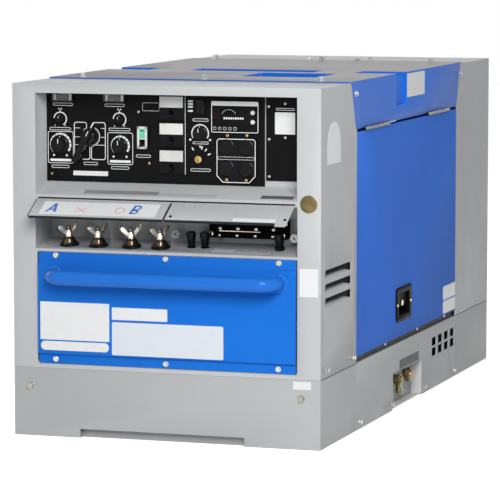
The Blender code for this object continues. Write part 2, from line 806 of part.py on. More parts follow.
def make_front_housing():
    """Make the grey front of the case with its control recess and openings."""
    shell = housing_shell(FRONT, DOOR_FRONT)
    wall_y = (FRONT - SHEET, FRONT + 2 * SHEET)
    control = block("control", (-CONTROL_HALF_W, CONTROL_HALF_W), wall_y,
                    (CONTROL_LOW, CONTROL_HIGH))
    bay = block("bay", (-BAY_HALF_W, BAY_HALF_W), wall_y, (BAY_LOW, BAY_HIGH))
    cover = block("cover", (COVER_LEFT - COVER_GAP, COVER_RIGHT + COVER_GAP), wall_y,
                  (COVER_LOW - COVER_GAP, COVER_HIGH + COVER_GAP))
    carve(shell, control, bay, cover)
    panel_y = FRONT + PANEL_SETBACK + PANEL_THICK + FIT
    slope = CONTROL_RISE / (panel_y - FRONT)
    outer = [(FRONT + SHEET / 2, CONTROL_LOW - SHEET), (panel_y + SHEET, PANEL_LOW - SHEET),
             (panel_y + SHEET, PANEL_CEILING), (FRONT + SHEET / 2, PANEL_CEILING)]
    inner = [(FRONT - SHEET, CONTROL_LOW - slope * SHEET), (panel_y, PANEL_LOW),
             (panel_y, PANEL_CEILING + SHEET), (FRONT - SHEET, PANEL_CEILING + SHEET)]
    recess = prism("recess", outer, -CONTROL_HALF_W - SHEET, CONTROL_HALF_W + SHEET, "X")
    room = prism("room", inner, -CONTROL_HALF_W, CONTROL_HALF_W, "X")
    carve(recess, room)
    window_y = (panel_y - SHEET, panel_y + 2 * SHEET)
    window_high = PANEL_CEILING - WINDOW_MARGIN
    windows = [block("window", (-CONTROL_HALF_W + WINDOW_MARGIN, PANEL_SPLIT - WINDOW_MARGIN),
                     window_y, (PANEL_LOW + WINDOW_MARGIN, window_high)),
               block("window", (PANEL_SPLIT + WINDOW_MARGIN, CONTROL_HALF_W - WINDOW_MARGIN),
                     window_y, (SIDE_PANEL_LOW + WINDOW_MARGIN, window_high))]
    carve(recess, *windows)
    fuse(shell, recess)
    ledge_y = (FRONT + SHEET + FIT, FRONT + 2 * SHEET + FIT)
    ledge_x = (-INNER_X - SHEET / 2, INNER_X + SHEET / 2)
    low_ledge = block("ledge", ledge_x, ledge_y, (BASE_HEIGHT + FIT, COVER_LOW + COVER_LEDGE))
    high_ledge = block("ledge", ledge_x, ledge_y, (COVER_HIGH - COVER_LEDGE, BAY_LOW - BAY_SILL))
    joints = []
    for z in ((BASE_HEIGHT + FIT, COVER_LOW - COVER_GAP), (COVER_HIGH + COVER_GAP, BAY_LOW - BAY_SILL)):
        joints.append(block("joint", (-CONTROL_HALF_W, CONTROL_HALF_W),
                            (FRONT + SHEET / 2, ledge_y[1]), z))
    fuse(shell, low_ledge, high_ledge, *joints)
    for side in (-1, 1):
        cuts = [louvre_cut(side, low) for low in LOUVRE_LOWS]
        carve(shell, *cuts)
        blades = [louvre_blade(side, low) for low in LOUVRE_LOWS]
        fuse(shell, *blades)
    finish(shell, "front_housing", principled("front_housing_paint", GREY_PAINT))


def make_rear_housing():
    """Make the grey rear of the case with its air outlet slots."""
    shell = housing_shell(REAR, DOOR_REAR)
    slots = []
    for row in range(OUTLET_SLOTS):
        low = OUTLET_LOW + row * OUTLET_PITCH
        slots.append(block("slot", (-OUTLET_HALF_W, OUTLET_HALF_W),
                           (REAR - 2 * SHEET, REAR + SHEET), (low, low + OUTLET_SLOT)))
    carve(shell, *slots)
    finish(shell, "rear_housing", principled("rear_housing_paint", GREY_PAINT))


def bonnet_outline():
    """Return the bonnet's side outline in (y, z)."""
    front_low = DOOR_FRONT - FRONT_RAKE_FOOT
    rear_low = DOOR_REAR + REAR_RAKE_FOOT
    return [(front_low, BONNET_LOW), (rear_low, BONNET_LOW),
            (rear_low + BONNET_RAKE, HOUSING_TOP + FIT),
            (front_low - BONNET_RAKE, HOUSING_TOP + FIT)]


def pocket(x, y, depth):
    """Return the outer box and the room of a pocket sunk in the roof."""
    floor = ROOF_TOP - depth
    box = block("pocket", (x[0] - SHEET, x[1] + SHEET), (y[0] - SHEET, y[1] + SHEET),
                (floor - SHEET, ROOF_TOP - SHEET / 2))
    room = block("room", x, y, (floor, ROOF_TOP + SHEET))
    return box, room


def make_bonnet():
    """Make the blue roof with its raked sides, sling grooves and pockets."""
    outline = bonnet_outline()
    overlap = ROOF_STEP / 2
    side_outline = outline[:2] + [(y, z + overlap) for y, z in outline[2:]]
    right = prism("side", side_outline, INNER_X, HALF_W, "X")
    left = prism("side", side_outline, -HALF_W, -INNER_X, "X")
    roof_y = (outline[3][0] - ROOF_LAP, outline[2][0] + ROOF_LAP)
    roof = block("roof", (-HALF_W, HALF_W), roof_y, (HOUSING_TOP + FIT, ROOF_TOP))
    fuse(roof, right, left)
    sling_y = (SLING_FRONT, SLING_REAR)
    rooms = []
    boxes = []
    for x, y, depth in (((-EYE_SLOT_HALF, EYE_SLOT_HALF), sling_y, EYE_SLOT_DEPTH),
                        ((FILLER_LEFT, FILLER_RIGHT), (FILLER_FRONT, FILLER_REAR), FILLER_DEPTH)):
        box, room = pocket(x, y, depth)
        boxes.append(box)
        rooms.append(room)
    for side in (-1, 1):
        over_x = sorted((side * (SLING_INNER_X - SHEET), side * (HALF_W - SHEET / 2)))
        boxes.append(block("groove", over_x, (SLING_FRONT - SHEET, SLING_REAR + SHEET),
                           (ROOF_TOP - SLING_DEPTH - SHEET, ROOF_TOP - SHEET / 2)))
        side_x = sorted((side * (HALF_W - SLING_DEPTH - SHEET), side * (HALF_W - SHEET / 2)))
        boxes.append(block("groove", side_x, (SLING_FRONT - SHEET, SLING_REAR + SHEET),
                           (SLING_LOW - SHEET, ROOF_TOP - SHEET)))
        out_x = sorted((side * SLING_INNER_X, side * (HALF_W + SHEET)))
        rooms.append(block("room", out_x, sling_y, (ROOF_TOP - SLING_DEPTH, ROOF_TOP + SHEET)))
        cut_x = sorted((side * (HALF_W - SLING_DEPTH), side * (HALF_W + SHEET)))
        rooms.append(block("room", cut_x, sling_y, (SLING_LOW, ROOF_TOP + SHEET)))
    fuse(roof, *boxes)
    eye_hole = block("eye_hole", (-EYE_HALF_W - EYE_ROOM, EYE_HALF_W + EYE_ROOM),
                     (EYE_Y - EYE_THICK / 2 - EYE_ROOM, EYE_Y + EYE_THICK / 2 + EYE_ROOM),
                     (ROOF_TOP - EYE_SLOT_DEPTH - 2 * SHEET, ROOF_TOP))
    neck_hole = rod("neck_hole", NECK_RADIUS + NECK_ROOM, 4 * SHEET,
                    (*FILLER_CENTRE, ROOF_TOP - FILLER_DEPTH), "Z", 24)
    carve(roof, *rooms, eye_hole, neck_hole)
    finish(roof, "bonnet", principled("bonnet_paint", BLUE_PAINT, 0.3))


def make_lifting_frame():
    """Make the portal that stands in the base and ends in the lifting eye."""
    posts = []
    foot = PAN_FLOOR + FIT
    beam = block("beam", (-POST_X, POST_X), (EYE_Y - POST_DEPTH / 2, EYE_Y + POST_DEPTH / 2),
                 (BEAM_LOW, BEAM_LOW + BEAM_HEIGHT))
    for side in (-1, 1):
        x = sorted((side * POST_X, side * (POST_X - POST_WIDTH)))
        posts.append(block("post", x, (EYE_Y - POST_DEPTH / 2, EYE_Y + POST_DEPTH / 2),
                           (foot, BEAM_LOW + BEAM_HEIGHT / 2)))
    eye = block("eye", (-EYE_HALF_W, EYE_HALF_W), (EYE_Y - EYE_THICK / 2, EYE_Y + EYE_THICK / 2),
                (BEAM_LOW + BEAM_HEIGHT / 2, EYE_TOP))
    fuse(beam, *posts, eye)
    hole = rod("hole", EYE_HOLE, 3 * EYE_THICK, (0, EYE_Y, EYE_TOP - EYE_HOLE - EYE_RIM), "Y", 20)
    carve(beam, hole)
    finish(beam, "lifting_frame", principled("frame_paint", (0.09, 0.09, 0.095), 0.45))


# ======================================================================
# side doors
# ======================================================================

def make_hinge_rail():
    """Return the right-hand rail under the bonnet with its hinge leaves and pins."""
    back_x = INNER_X - FIT
    ends = (DOOR_FRONT - FRONT_RAKE_FOOT - BONNET_RAKE, DOOR_REAR + REAR_RAKE_FOOT + BONNET_RAKE)
    rail = block("rail", (back_x - RAIL_DEPTH, back_x), ends,
                 (BONNET_LOW - RAIL_DROP, BONNET_LOW - RAIL_DROP + RAIL_HEIGHT))
    for station in HINGE_STATIONS:
        pieces = [rod("pin", PIN_RADIUS, 2 * (KNUCKLE_HALF + HINGE_END),
                      (HINGE_X, station, HINGE_Z), "Y", 12)]
        for side in (-1, 1):
            near = station + side * (KNUCKLE_HALF + HINGE_CLEARANCE)
            far = station + side * (KNUCKLE_HALF + HINGE_END)
            y = sorted((near, far))
            pieces.append(rod("knuckle", KNUCKLE_RADIUS, y[1] - y[0],
                              (HINGE_X, (y[0] + y[1]) / 2, HINGE_Z), "Y", 12))
            pieces.append(block("leaf", (back_x - RAIL_DEPTH / 2, HINGE_X), y,
                                (HINGE_Z - LEAF_HALF_THICK, BONNET_LOW - FIT)))
            pieces.append(block("leaf_root", (back_x - RAIL_DEPTH / 2, back_x - LEAF_ROOT_INSET),
                                y, (HINGE_Z - LEAF_HALF_THICK, BONNET_LOW + LEAF_ROOT_RISE)))
        fuse(rail, *pieces)
    return rail


def make_door():
    """Return the right-hand door, a folded pan with its hinge knuckles."""
    ends = (DOOR_FRONT + DOOR_EDGE_GAP, DOOR_REAR - DOOR_EDGE_GAP)
    inner = HALF_W - SHEET - DOOR_FOLD
    door = block("door", (inner, HALF_W), ends, (DOOR_LOW, DOOR_HIGH))
    hollow = block("hollow", (inner - SHEET, INNER_X), (ends[0] + SHEET, ends[1] - SHEET),
                   (DOOR_LOW + SHEET, DOOR_HIGH - SHEET))
    carve(door, hollow)
    for station in HINGE_STATIONS:
        y = (station - KNUCKLE_HALF, station + KNUCKLE_HALF)
        leaf = block("leaf", (INNER_X, HINGE_X), y, (DOOR_HIGH - SHEET / 2, HINGE_Z - PIN_RADIUS))
        knuckle = rod("knuckle", KNUCKLE_RADIUS, 2 * KNUCKLE_HALF, (HINGE_X, station, HINGE_Z),
                      "Y", 12)
        fuse(door, leaf, knuckle)
        bore = rod("bore", PIN_RADIUS + HINGE_CLEARANCE, 3 * KNUCKLE_HALF,
                   (HINGE_X, station, HINGE_Z), "Y", 12)
        carve(door, bore)
    latch_room = block("latch_room", (INNER_X - SHEET, HALF_W + SHEET),
                       (LATCH_Y - LATCH_BODY_LENGTH / 2 - FIT, LATCH_Y + LATCH_BODY_LENGTH / 2 + FIT),
                       (LATCH_Z - LATCH_BODY_HEIGHT / 2 - FIT, LATCH_Z + LATCH_BODY_HEIGHT / 2 + FIT))
    return carve(door, latch_room)


def make_latch_housing():
    """Return the black dish that holds the right-hand door's paddle."""
    face = HALF_W + FIT
    outline = shifted(rounded_outline(LATCH_LENGTH / 2, LATCH_HEIGHT / 2, LATCH_CORNER, 4),
                      LATCH_Y, LATCH_Z)
    dish = prism("flange", outline, face, face + LATCH_FLANGE, "X")
    half_y = LATCH_BODY_LENGTH / 2
    half_z = LATCH_BODY_HEIGHT / 2
    body = block("body", (face - LATCH_BODY_DEPTH, face + LATCH_FLANGE / 2),
                 (LATCH_Y - half_y, LATCH_Y + half_y), (LATCH_Z - half_z, LATCH_Z + half_z))
    fuse(dish, body)
    room = block("room", (face - LATCH_BODY_DEPTH + LATCH_WALL, face + 2 * LATCH_FLANGE),
                 (LATCH_Y - half_y + LATCH_WALL, LATCH_Y + half_y - LATCH_WALL),
                 (LATCH_Z - half_z + LATCH_WALL, LATCH_Z + half_z - LATCH_WALL))
    return carve(dish, room)


def make_latch_paddle():
    """Return the paddle that is pulled outward from its lower edge."""
    half_y = LATCH_BODY_LENGTH / 2 - LATCH_WALL - FIT
    high = LATCH_Z + LATCH_BODY_HEIGHT / 2 - LATCH_WALL
    low = high - PADDLE_HEIGHT
    plate = block("plate", tuple(HALF_W - depth for depth in PADDLE_DEPTHS),
                  (LATCH_Y - half_y + PADDLE_MARGIN, LATCH_Y + half_y - PADDLE_MARGIN),
                  (low, high - PADDLE_TOP_GAP))
    pivot = rod("pivot", PADDLE_PIVOT_RADIUS, 2 * half_y, (PADDLE_X, LATCH_Y, PADDLE_Z), "Y", 12)
    lip = block("lip", tuple(HALF_W - depth for depth in PADDLE_LIP_DEPTHS),
                (LATCH_Y - PADDLE_LIP_HALF, LATCH_Y + PADDLE_LIP_HALF),
                (low, low + PADDLE_LIP_THICK))
    return fuse(plate, pivot, lip)


def make_side_doors():
    """Make both doors, their rails, latches and paddles."""
    makers = (("hinge_rail", make_hinge_rail, "rail_paint", (0.02, 0.07, 0.28), 0.4, 0.0, None),
              ("side_door", make_door, "door_paint", BLUE_PAINT, 0.3, 0.0,
               (HINGE_X, 0.0, HINGE_Z)),
              ("latch_housing", make_latch_housing, "latch_black", BLACK_PLASTIC, 0.45, 0.0, None),
              ("latch_paddle", make_latch_paddle, "paddle_steel", STEEL, 0.3, 1.0,
               (PADDLE_X, LATCH_Y, PADDLE_Z)))
    for name, maker, paint, colour, roughness, metallic, pivot in makers:
        right = maker()
        left = mirrored(right, name)
        left_pivot = None if pivot is None else (-pivot[0], pivot[1], pivot[2])
        material = principled(paint, colour, roughness, metallic)
        finish(right, name + "_right", material, pivot)
        finish(left, name + "_left", material.copy(), left_pivot)


# ======================================================================
# front cover and handle
# ======================================================================

def make_front_cover():
    """Make the blue service cover with its raised middle."""
    cover = block("flange", (COVER_LEFT, COVER_RIGHT), (FRONT, FRONT + SHEET),
                  (COVER_LOW, COVER_HIGH))
    crown = block("crown", (COVER_LEFT, COVER_RIGHT), (FRONT - COVER_CROWN, FRONT + SHEET / 2),
                  (COVER_LOW + COVER_FLANGE, COVER_HIGH - COVER_FLANGE))
    fuse(cover, crown)
    hollow = block("hollow", (COVER_LEFT + SHEET, COVER_RIGHT - SHEET),
                   (FRONT - COVER_CROWN + SHEET, FRONT + 2 * SHEET),
                   (COVER_LOW + COVER_FLANGE + SHEET, COVER_HIGH - COVER_FLANGE - SHEET))
    carve(cover, hollow)
    finish(cover, "front_cover", principled("cover_paint", BLUE_PAINT, 0.3))


def make_front_handle():
    """Make the round pull bar across the cover, its ends bent back to the cover."""
    seat = FRONT - COVER_CROWN - FIT
    bar_y = seat - HANDLE_REACH
    points = []
    for side, start_x in ((-1, HANDLE_LEFT), (1, HANDLE_RIGHT)):
        arc = []
        centre_x = start_x - side * HANDLE_BEND
        centre_y = bar_y + HANDLE_BEND
        for step in range(HANDLE_BEND_STEPS + 1):
            angle = math.radians(90 * step / HANDLE_BEND_STEPS)
            arc.append((centre_x + side * HANDLE_BEND * math.cos(angle),
                        centre_y - HANDLE_BEND * math.sin(angle), HANDLE_Z))
        arc.insert(0, (start_x, seat, HANDLE_Z))
        points.extend(arc if side < 0 else reversed(arc))
    bar = tube("bar", points, HANDLE_RADIUS, 4)
    finish(bar, "front_handle", principled("handle_paint", BLUE_PAINT, 0.3), smooth=True)


# ======================================================================
# control panel
# ======================================================================

def panel_knob(name, place, radius, height, material):
    """Make a pointer knob whose shaft passes through the panel."""
    x, z = place
    half = height / 2
    profile = [(0.0, half), (CAP_SHARE * radius, half),
               (SHOULDER_SHARE * radius, half - SHOULDER_DROP), (radius, -half), (0.0, -half)]
    middle_y = PANEL_FACE - FIT - half
    knob = turned(name, profile, (x, middle_y, z), "Y", KNOB_SEGMENTS)
    shaft = rod("shaft", SHAFT_RADIUS, SHAFT_LENGTH,
                (x, PANEL_FACE - FIT - SHAFT_LAP + SHAFT_LENGTH / 2, z), "Y", 12)
    rib = block("rib", (x - RIB_HALF, x + RIB_HALF),
                (PANEL_FACE - FIT - height - RIB_HALF, PANEL_FACE - height + RIB_SINK),
                (z - RIB_SPAN[0] * radius, z + RIB_SPAN[1] * radius))
    fuse(knob, shaft, rib)
    finish(knob, name, material, (x, PANEL_FACE, z), smooth=True)


def make_knobs():
    """Make the five turning dials."""
    for name, place, radius, height in DIALS:
        panel_knob(name, place, radius, height, principled(name + "_black", BLACK_PLASTIC, 0.35))


def make_selector_lever():
    """Make the long-handled process selector."""
    x, z = SELECTOR
    hub = turned("hub", [(0.0, SELECTOR_HALF), (SELECTOR_TOP_RADIUS, SELECTOR_HALF),
                         (SELECTOR_RADIUS, SELECTOR_SHOULDER), (SELECTOR_RADIUS, -SELECTOR_HALF),
                         (0.0, -SELECTOR_HALF)],
                 (x, PANEL_FACE - FIT - SELECTOR_HALF, z), "Y", KNOB_SEGMENTS)
    shaft = rod("shaft", SHAFT_RADIUS, SHAFT_LENGTH,
                (x, PANEL_FACE - FIT - SHAFT_LAP + SHAFT_LENGTH / 2, z), "Y", 12)
    half_outline = [(LEVER_TAIL_HALF, LEVER_TAIL), (LEVER_ROOT_HALF, 0.0),
                    (LEVER_TIP_HALF, LEVER_POINT - LEVER_LENGTH), (LEVER_POINT_HALF, -LEVER_LENGTH)]
    outline = half_outline + [(-a, b) for a, b in reversed(half_outline)]
    angle = math.radians(-LEVER_LEAN)
    turned_outline = [(x + a * math.cos(angle) - b * math.sin(angle),
                       z + a * math.sin(angle) + b * math.cos(angle)) for a, b in outline]
    bar = prism("bar", turned_outline, PANEL_FACE - LEVER_OUT[0], PANEL_FACE - LEVER_OUT[1], "Y")
    fuse(hub, shaft, bar)
    finish(hub, "selector_lever", principled("selector_black", BLACK_PLASTIC, 0.35),
           (x, PANEL_FACE, z), smooth=True)


def make_control_panel():
    """Make the black main panel with a hole for each control."""
    panel = block("panel", (-CONTROL_HALF_W + FIT, PANEL_SPLIT - PANEL_SPLIT_GAP),
                  (PANEL_FACE, PANEL_FACE + PANEL_THICK), (PANEL_LOW + FIT, PANEL_CEILING - FIT))
    through = (PANEL_FACE - PANEL_THICK, PANEL_FACE + 2 * PANEL_THICK)
    middle = (through[0] + through[1]) / 2
    length = through[1] - through[0]
    holes = []
    for place in [dial[1] for dial in DIALS] + [SELECTOR]:
        holes.append(rod("hole", SHAFT_RADIUS + SHAFT_CLEARANCE, length,
                         (place[0], middle, place[1]), "Y", 12))
    holes.append(rod("hole", KEY_BARREL + SHAFT_CLEARANCE, length,
                     (KEY_PLACE[0], middle, KEY_PLACE[1]), "Y", 16))
    for x, z, half_x, half_z in MODULES:
        holes.append(block("hole", (x - half_x + NECK_INSET - SHAFT_CLEARANCE,
                                    x + half_x - NECK_INSET + SHAFT_CLEARANCE), through,
                           (z - half_z + NECK_INSET - SHAFT_CLEARANCE,
                            z + half_z - NECK_INSET + SHAFT_CLEARANCE)))
    holes.append(block("hole", ROCKER_X, through, ROCKER_Z))
    carve(panel, *holes)
    finish(panel, "control_panel", principled("panel_black", (0.010, 0.010, 0.011), 0.5))
    side = block("side_panel", (PANEL_SPLIT + PANEL_SPLIT_GAP, CONTROL_HALF_W - FIT),
                 (PANEL_FACE, PANEL_FACE + PANEL_THICK), (SIDE_PANEL_LOW, PANEL_CEILING - FIT))
    finish(side, "side_panel", principled("side_panel_black", (0.010, 0.010, 0.011), 0.5))


def make_breakers():
    """Make the breaker bank on its rail and the four toggles."""
    rail_y = tuple(PANEL_FACE + PANEL_THICK + depth for depth in BANK_RAIL)
    lows = [z - half_z for _, z, _, half_z in MODULES]
    highs = [z + half_z for _, z, _, half_z in MODULES]
    lefts = [x - half_x for x, _, half_x, _ in MODULES]
    rights = [x + half_x for x, _, half_x, _ in MODULES]
    bank = block("rail", (min(lefts) + NECK_INSET, max(rights) - NECK_INSET), rail_y,
                 (min(lows) + NECK_INSET, max(highs) - NECK_INSET))
    faces = []
    slots = []
    for x, z, half_x, half_z in MODULES:
        faces.append(block("module", (x - half_x, x + half_x),
                           (PANEL_FACE - MODULE_PROUD, PANEL_FACE - FIT),
                           (z - half_z, z + half_z)))
        faces.append(block("neck", (x - half_x + NECK_INSET, x + half_x - NECK_INSET),
                           (PANEL_FACE - MODULE_PROUD / 2, rail_y[0] + BANK_LAP),
                           (z - half_z + NECK_INSET, z + half_z - NECK_INSET)))
        slots.append(block("slot", (x - TOGGLE_HALF - TOGGLE_ROOM, x + TOGGLE_HALF + TOGGLE_ROOM),
                           (PANEL_FACE - 2 * MODULE_PROUD, PANEL_FACE + SHAFT_LAP),
                           (z - TOGGLE_DROP - TOGGLE_SLOT, z - TOGGLE_DROP + TOGGLE_SLOT)))
    fuse(bank, *faces)
    carve(bank, *slots)
    finish(bank, "breaker_bank", principled("breaker_body", (0.02, 0.02, 0.02), 0.45))
    for index, (x, z, _, _) in enumerate(MODULES):
        pivot = (x, PANEL_FACE - TOGGLE_IN, z - TOGGLE_DROP)
        roller = rod("roller", ROLLER_RADIUS, 2 * TOGGLE_HALF, pivot, "X", 12)
        stick = block("stick", (x - TOGGLE_HALF, x + TOGGLE_HALF),
                      (pivot[1] - TOGGLE_REACH, pivot[1]),
                      (pivot[2] - STICK_HALF, pivot[2] + STICK_HALF))
        fuse(roller, stick)
        lean = Matrix.Rotation(math.radians(TOGGLE_LEAN), 4, "X")
        bring = Matrix.Translation(roller.location - Vector(pivot))
        roller.data.transform(lean @ bring)
        roller.location = pivot
        finish(roller, f"breaker_toggle_{index + 1}", principled(f"toggle_black_{index + 1}",
               BLACK_PLASTIC, 0.4), pivot)


def make_rocker():
    """Make the rocker switch that tilts in the panel's slot."""
    middle_x = sum(ROCKER_X) / 2
    middle_z = sum(ROCKER_Z) / 2
    half_z = (ROCKER_Z[1] - ROCKER_Z[0]) / 2 - ROCKER_ROOM
    upper = [(ROCKER_BACK, ROCKER_SHARES[0]), (-ROCKER_EDGE, ROCKER_SHARES[1]),
             (-ROCKER_PROUD, ROCKER_SHARES[2])]
    outline = upper + [(-ROCKER_WAIST, 0.0)] + [(y, -share) for y, share in reversed(upper)]
    places = [(PANEL_FACE + y, middle_z + share * half_z) for y, share in outline]
    rocker = prism("rocker", places, ROCKER_X[0] + SHAFT_CLEARANCE, ROCKER_X[1] - SHAFT_CLEARANCE,
                   "X")
    finish(rocker, "rocker_switch", principled("rocker_black", BLACK_PLASTIC, 0.3),
           (middle_x, PANEL_FACE + ROCKER_EDGE, middle_z))


def make_key_switch():
    """Make the turning key barrel with its slot."""
    x, z = KEY_PLACE
    profile = [(0.0, KEY_PROUD), (KEY_NOSE, KEY_PROUD), (KEY_RING, KEY_PROUD / 2), (KEY_RING, 0.0),
               (KEY_BARREL, 0.0), (KEY_BARREL, -KEY_DEPTH), (0.0, -KEY_DEPTH)]
    barrel = turned("barrel", profile, (x, PANEL_FACE - FIT, z), "Y", KNOB_SEGMENTS)
    slot = block("slot", (x - KEY_SLOT_HALF[0], x + KEY_SLOT_HALF[0]),
                 (PANEL_FACE - KEY_SLOT_OUT[0], PANEL_FACE - KEY_SLOT_OUT[1]),
                 (z - KEY_SLOT_HALF[1], z + KEY_SLOT_HALF[1]))
    carve(barrel, slot)
    finish(barrel, "key_switch", principled("key_brass", (0.60, 0.42, 0.16), 0.3, 1.0),
           (x, PANEL_FACE, z), smooth=True)


def make_monitor():
    """Make the engine monitor and its two push buttons."""
    unit = block("monitor", MONITOR_X, (PANEL_FACE - MONITOR_PROUD, PANEL_FACE - FIT), MONITOR_Z)
    wells = []
    for x, z in BUTTONS:
        wells.append(rod("well", BUTTON_RADIUS + BUTTON_ROOM, 2 * BUTTON_WELL,
                         (x, PANEL_FACE - MONITOR_PROUD, z), "Y", 16))
    carve(unit, *wells)
    finish(unit, "monitor_unit", principled("monitor_black", (0.014, 0.014, 0.015), 0.3))
    for index, (x, z) in enumerate(BUTTONS):
        low = PANEL_FACE - MONITOR_PROUD + BUTTON_WELL - BUTTON_TRAVEL - FIT
        button = rod("button", BUTTON_RADIUS, low - (PANEL_FACE - MONITOR_PROUD - BUTTON_PROUD),
                     (x, (low + PANEL_FACE - MONITOR_PROUD - BUTTON_PROUD) / 2, z), "Y", 16)
        finish(button, f"monitor_button_{index + 1}",
               principled(f"button_white_{index + 1}", (0.75, 0.75, 0.73), 0.35), smooth=True)


def make_outlets():
    """Make the outlet block with four round sockets."""
    left, right = OUTLET_X
    low, high = OUTLET_Z
    chamfer = OUTLET_CHAMFER
    outline = [(left, high), (left, low + chamfer), (left + chamfer, low),
               (right - chamfer, low), (right, low + chamfer), (right, high)]
    plate = prism("outlets", outline, PANEL_FACE - OUTLET_PROUD, PANEL_FACE - FIT, "Y")
    rooms = []
    for x in OUTLET_COLUMNS:
        for z in OUTLET_ROWS:
            rooms.append(rod("socket", OUTLET_RADIUS, 2 * OUTLET_SINK,
                             (x, PANEL_FACE - OUTLET_PROUD, z), "Y", KNOB_SEGMENTS))
    carve(plate, *rooms)
    finish(plate, "outlet_block", principled("outlet_black", (0.012, 0.012, 0.012), 0.4),
           smooth=True)


# ======================================================================
# terminal bay
# ======================================================================

def floor_frame():
    """Return the matrix from the bay floor's own axes to the welder's."""
    tilt = Matrix.Rotation(BAY_TILT, 4, "X")
    return Matrix.Translation((0, BAY_FRONT, BAY_LOW)) @ tilt


def stand_on_floor(piece, x, y):
    """Move a piece modelled about its own foot to a place on the bay's floor."""
    bpy.context.view_layer.update()
    piece.data.transform(floor_frame() @ Matrix.Translation((x, y, 0)) @ piece.matrix_world)
    piece.location = (0, 0, 0)
    return piece


def floor_point(x, y, height=0.0):
    """Return a point over the bay's floor in the welder's axes."""
    return floor_frame() @ Vector((x, y, height))


def make_terminal_bay():
    """Make the recess behind the flaps with its sloping floor."""
    back = BAY_FRONT + BAY_DEPTH
    outer = [(BAY_FRONT, BAY_LOW - SHEET), (back + SHEET, BAY_LOW + BAY_FLOOR_RISE - SHEET),
             (back + SHEET, BAY_HIGH + BAY_HEADROOM + SHEET),
             (BAY_FRONT, BAY_HIGH + BAY_HEADROOM + SHEET)]
    slope = BAY_FLOOR_RISE / BAY_DEPTH
    inner = [(BAY_FRONT - SHEET, BAY_LOW - slope * SHEET), (back, BAY_LOW + BAY_FLOOR_RISE),
             (back, BAY_HIGH + BAY_HEADROOM), (BAY_FRONT - SHEET, BAY_HIGH + BAY_HEADROOM)]
    bay = prism("bay", outer, -BAY_HALF_W - SHEET, BAY_HALF_W + SHEET, "X")
    room = prism("room", inner, -BAY_HALF_W, BAY_HALF_W, "X")
    carve(bay, room)
    holes = []
    for x in TERMINALS:
        hole = rod("hole", COLUMN_RADIUS + COLUMN_ROOM, 6 * SHEET, (0, 0, 0), "Z", 16)
        holes.append(stand_on_floor(hole, x, TERMINAL_BACK))
    carve(bay, *holes)
    finish(bay, "terminal_bay", principled("bay_paint", (0.30, 0.31, 0.32), 0.3))


def make_terminal_board():
    """Make the insulating board under the floor with four studs through it."""
    board = block("board", (TERMINALS[0] - BOARD_MARGIN, TERMINALS[-1] + BOARD_MARGIN),
                  (TERMINAL_BACK - BOARD_HALF, TERMINAL_BACK + BOARD_HALF),
                  (-SHEET - FIT - BOARD_THICK, -SHEET - FIT))
    stand_on_floor(board, 0, 0)
    for x in TERMINALS:
        column = rod("column", COLUMN_RADIUS, COLUMN_LENGTH, (0, 0, -COLUMN_DROP), "Z", 16)
        base = turned("base", [(0.0, BASE_CONE), (BASE_TOP_RADIUS, BASE_CONE),
                               (BASE_RADIUS - BASE_RIM / 2, BASE_RIM), (BASE_RADIUS, BASE_RIM),
                               (BASE_RADIUS, FIT), (0.0, FIT)], (0, 0, 0), "Z", KNOB_SEGMENTS)
        stud = rod("stud", STUD_RADIUS, STUD_LENGTH, (0, 0, BASE_CONE / 2 + STUD_LENGTH / 2),
                   "Z", 12)
        for piece in (column, base, stud):
            stand_on_floor(piece, x, TERMINAL_BACK)
        fuse(board, column, base, stud)
    finish(board, "terminal_board", principled("board_black", BLACK_PLASTIC, 0.3), smooth=True)


def make_wing_nuts():
    """Make the four wing nuts with their washers."""
    low = BASE_CONE + FIT
    for index, x in enumerate(TERMINALS):
        hub = turned("hub", [(0.0, low + HUB_HEIGHT), (HUB_TOP_RADIUS, low + HUB_HEIGHT),
                             (HUB_RADIUS, low + WASHER_THICK), (WASHER_RADIUS, low + WASHER_THICK),
                             (WASHER_RADIUS, low), (0.0, low)], (0, 0, 0), "Z", 16)
        for side in (-1, 1):
            wing = prism("wing", [(side * a, low + b) for a, b in WING_OUTLINE],
                         -WING_HALF_THICK, WING_HALF_THICK, "Y")
            fuse(hub, wing)
        bore = rod("bore", STUD_RADIUS + NUT_CLEARANCE, 4 * HUB_HEIGHT, (0, 0, low + HUB_HEIGHT),
                   "Z", 12)
        carve(hub, bore)
        spin = Matrix.Rotation(math.radians(NUT_TURNS[index]), 4, "Z")
        hub.data.transform(spin)
        stand_on_floor(hub, x, TERMINAL_BACK)
        finish(hub, f"wing_nut_{index + 1}", principled(f"nut_chrome_{index + 1}", STEEL, 0.2, 1.0),
               floor_point(x, TERMINAL_BACK, low), smooth=True)


def make_terminal_caps():
    """Make the three small screw caps on the right of the bay."""
    for index, x in enumerate(SCREW_CAPS):
        cap = turned("cap", [(0.0, SCREW_CAP_HEIGHT),
                             (SCREW_CAP_TOP * SCREW_CAP_RADIUS, SCREW_CAP_HEIGHT),
                             (SCREW_CAP_RADIUS, SCREW_CAP_TOP * SCREW_CAP_HEIGHT),
                             (SCREW_CAP_FOOT, FIT), (0.0, FIT)], (0, 0, 0), "Z", 16)
        stand_on_floor(cap, x, SCREW_CAP_BACK)
        finish(cap, f"terminal_cap_{index + 1}",
               principled(f"cap_black_{index + 1}", BLACK_PLASTIC, 0.4),
               floor_point(x, SCREW_CAP_BACK, FIT), smooth=True)


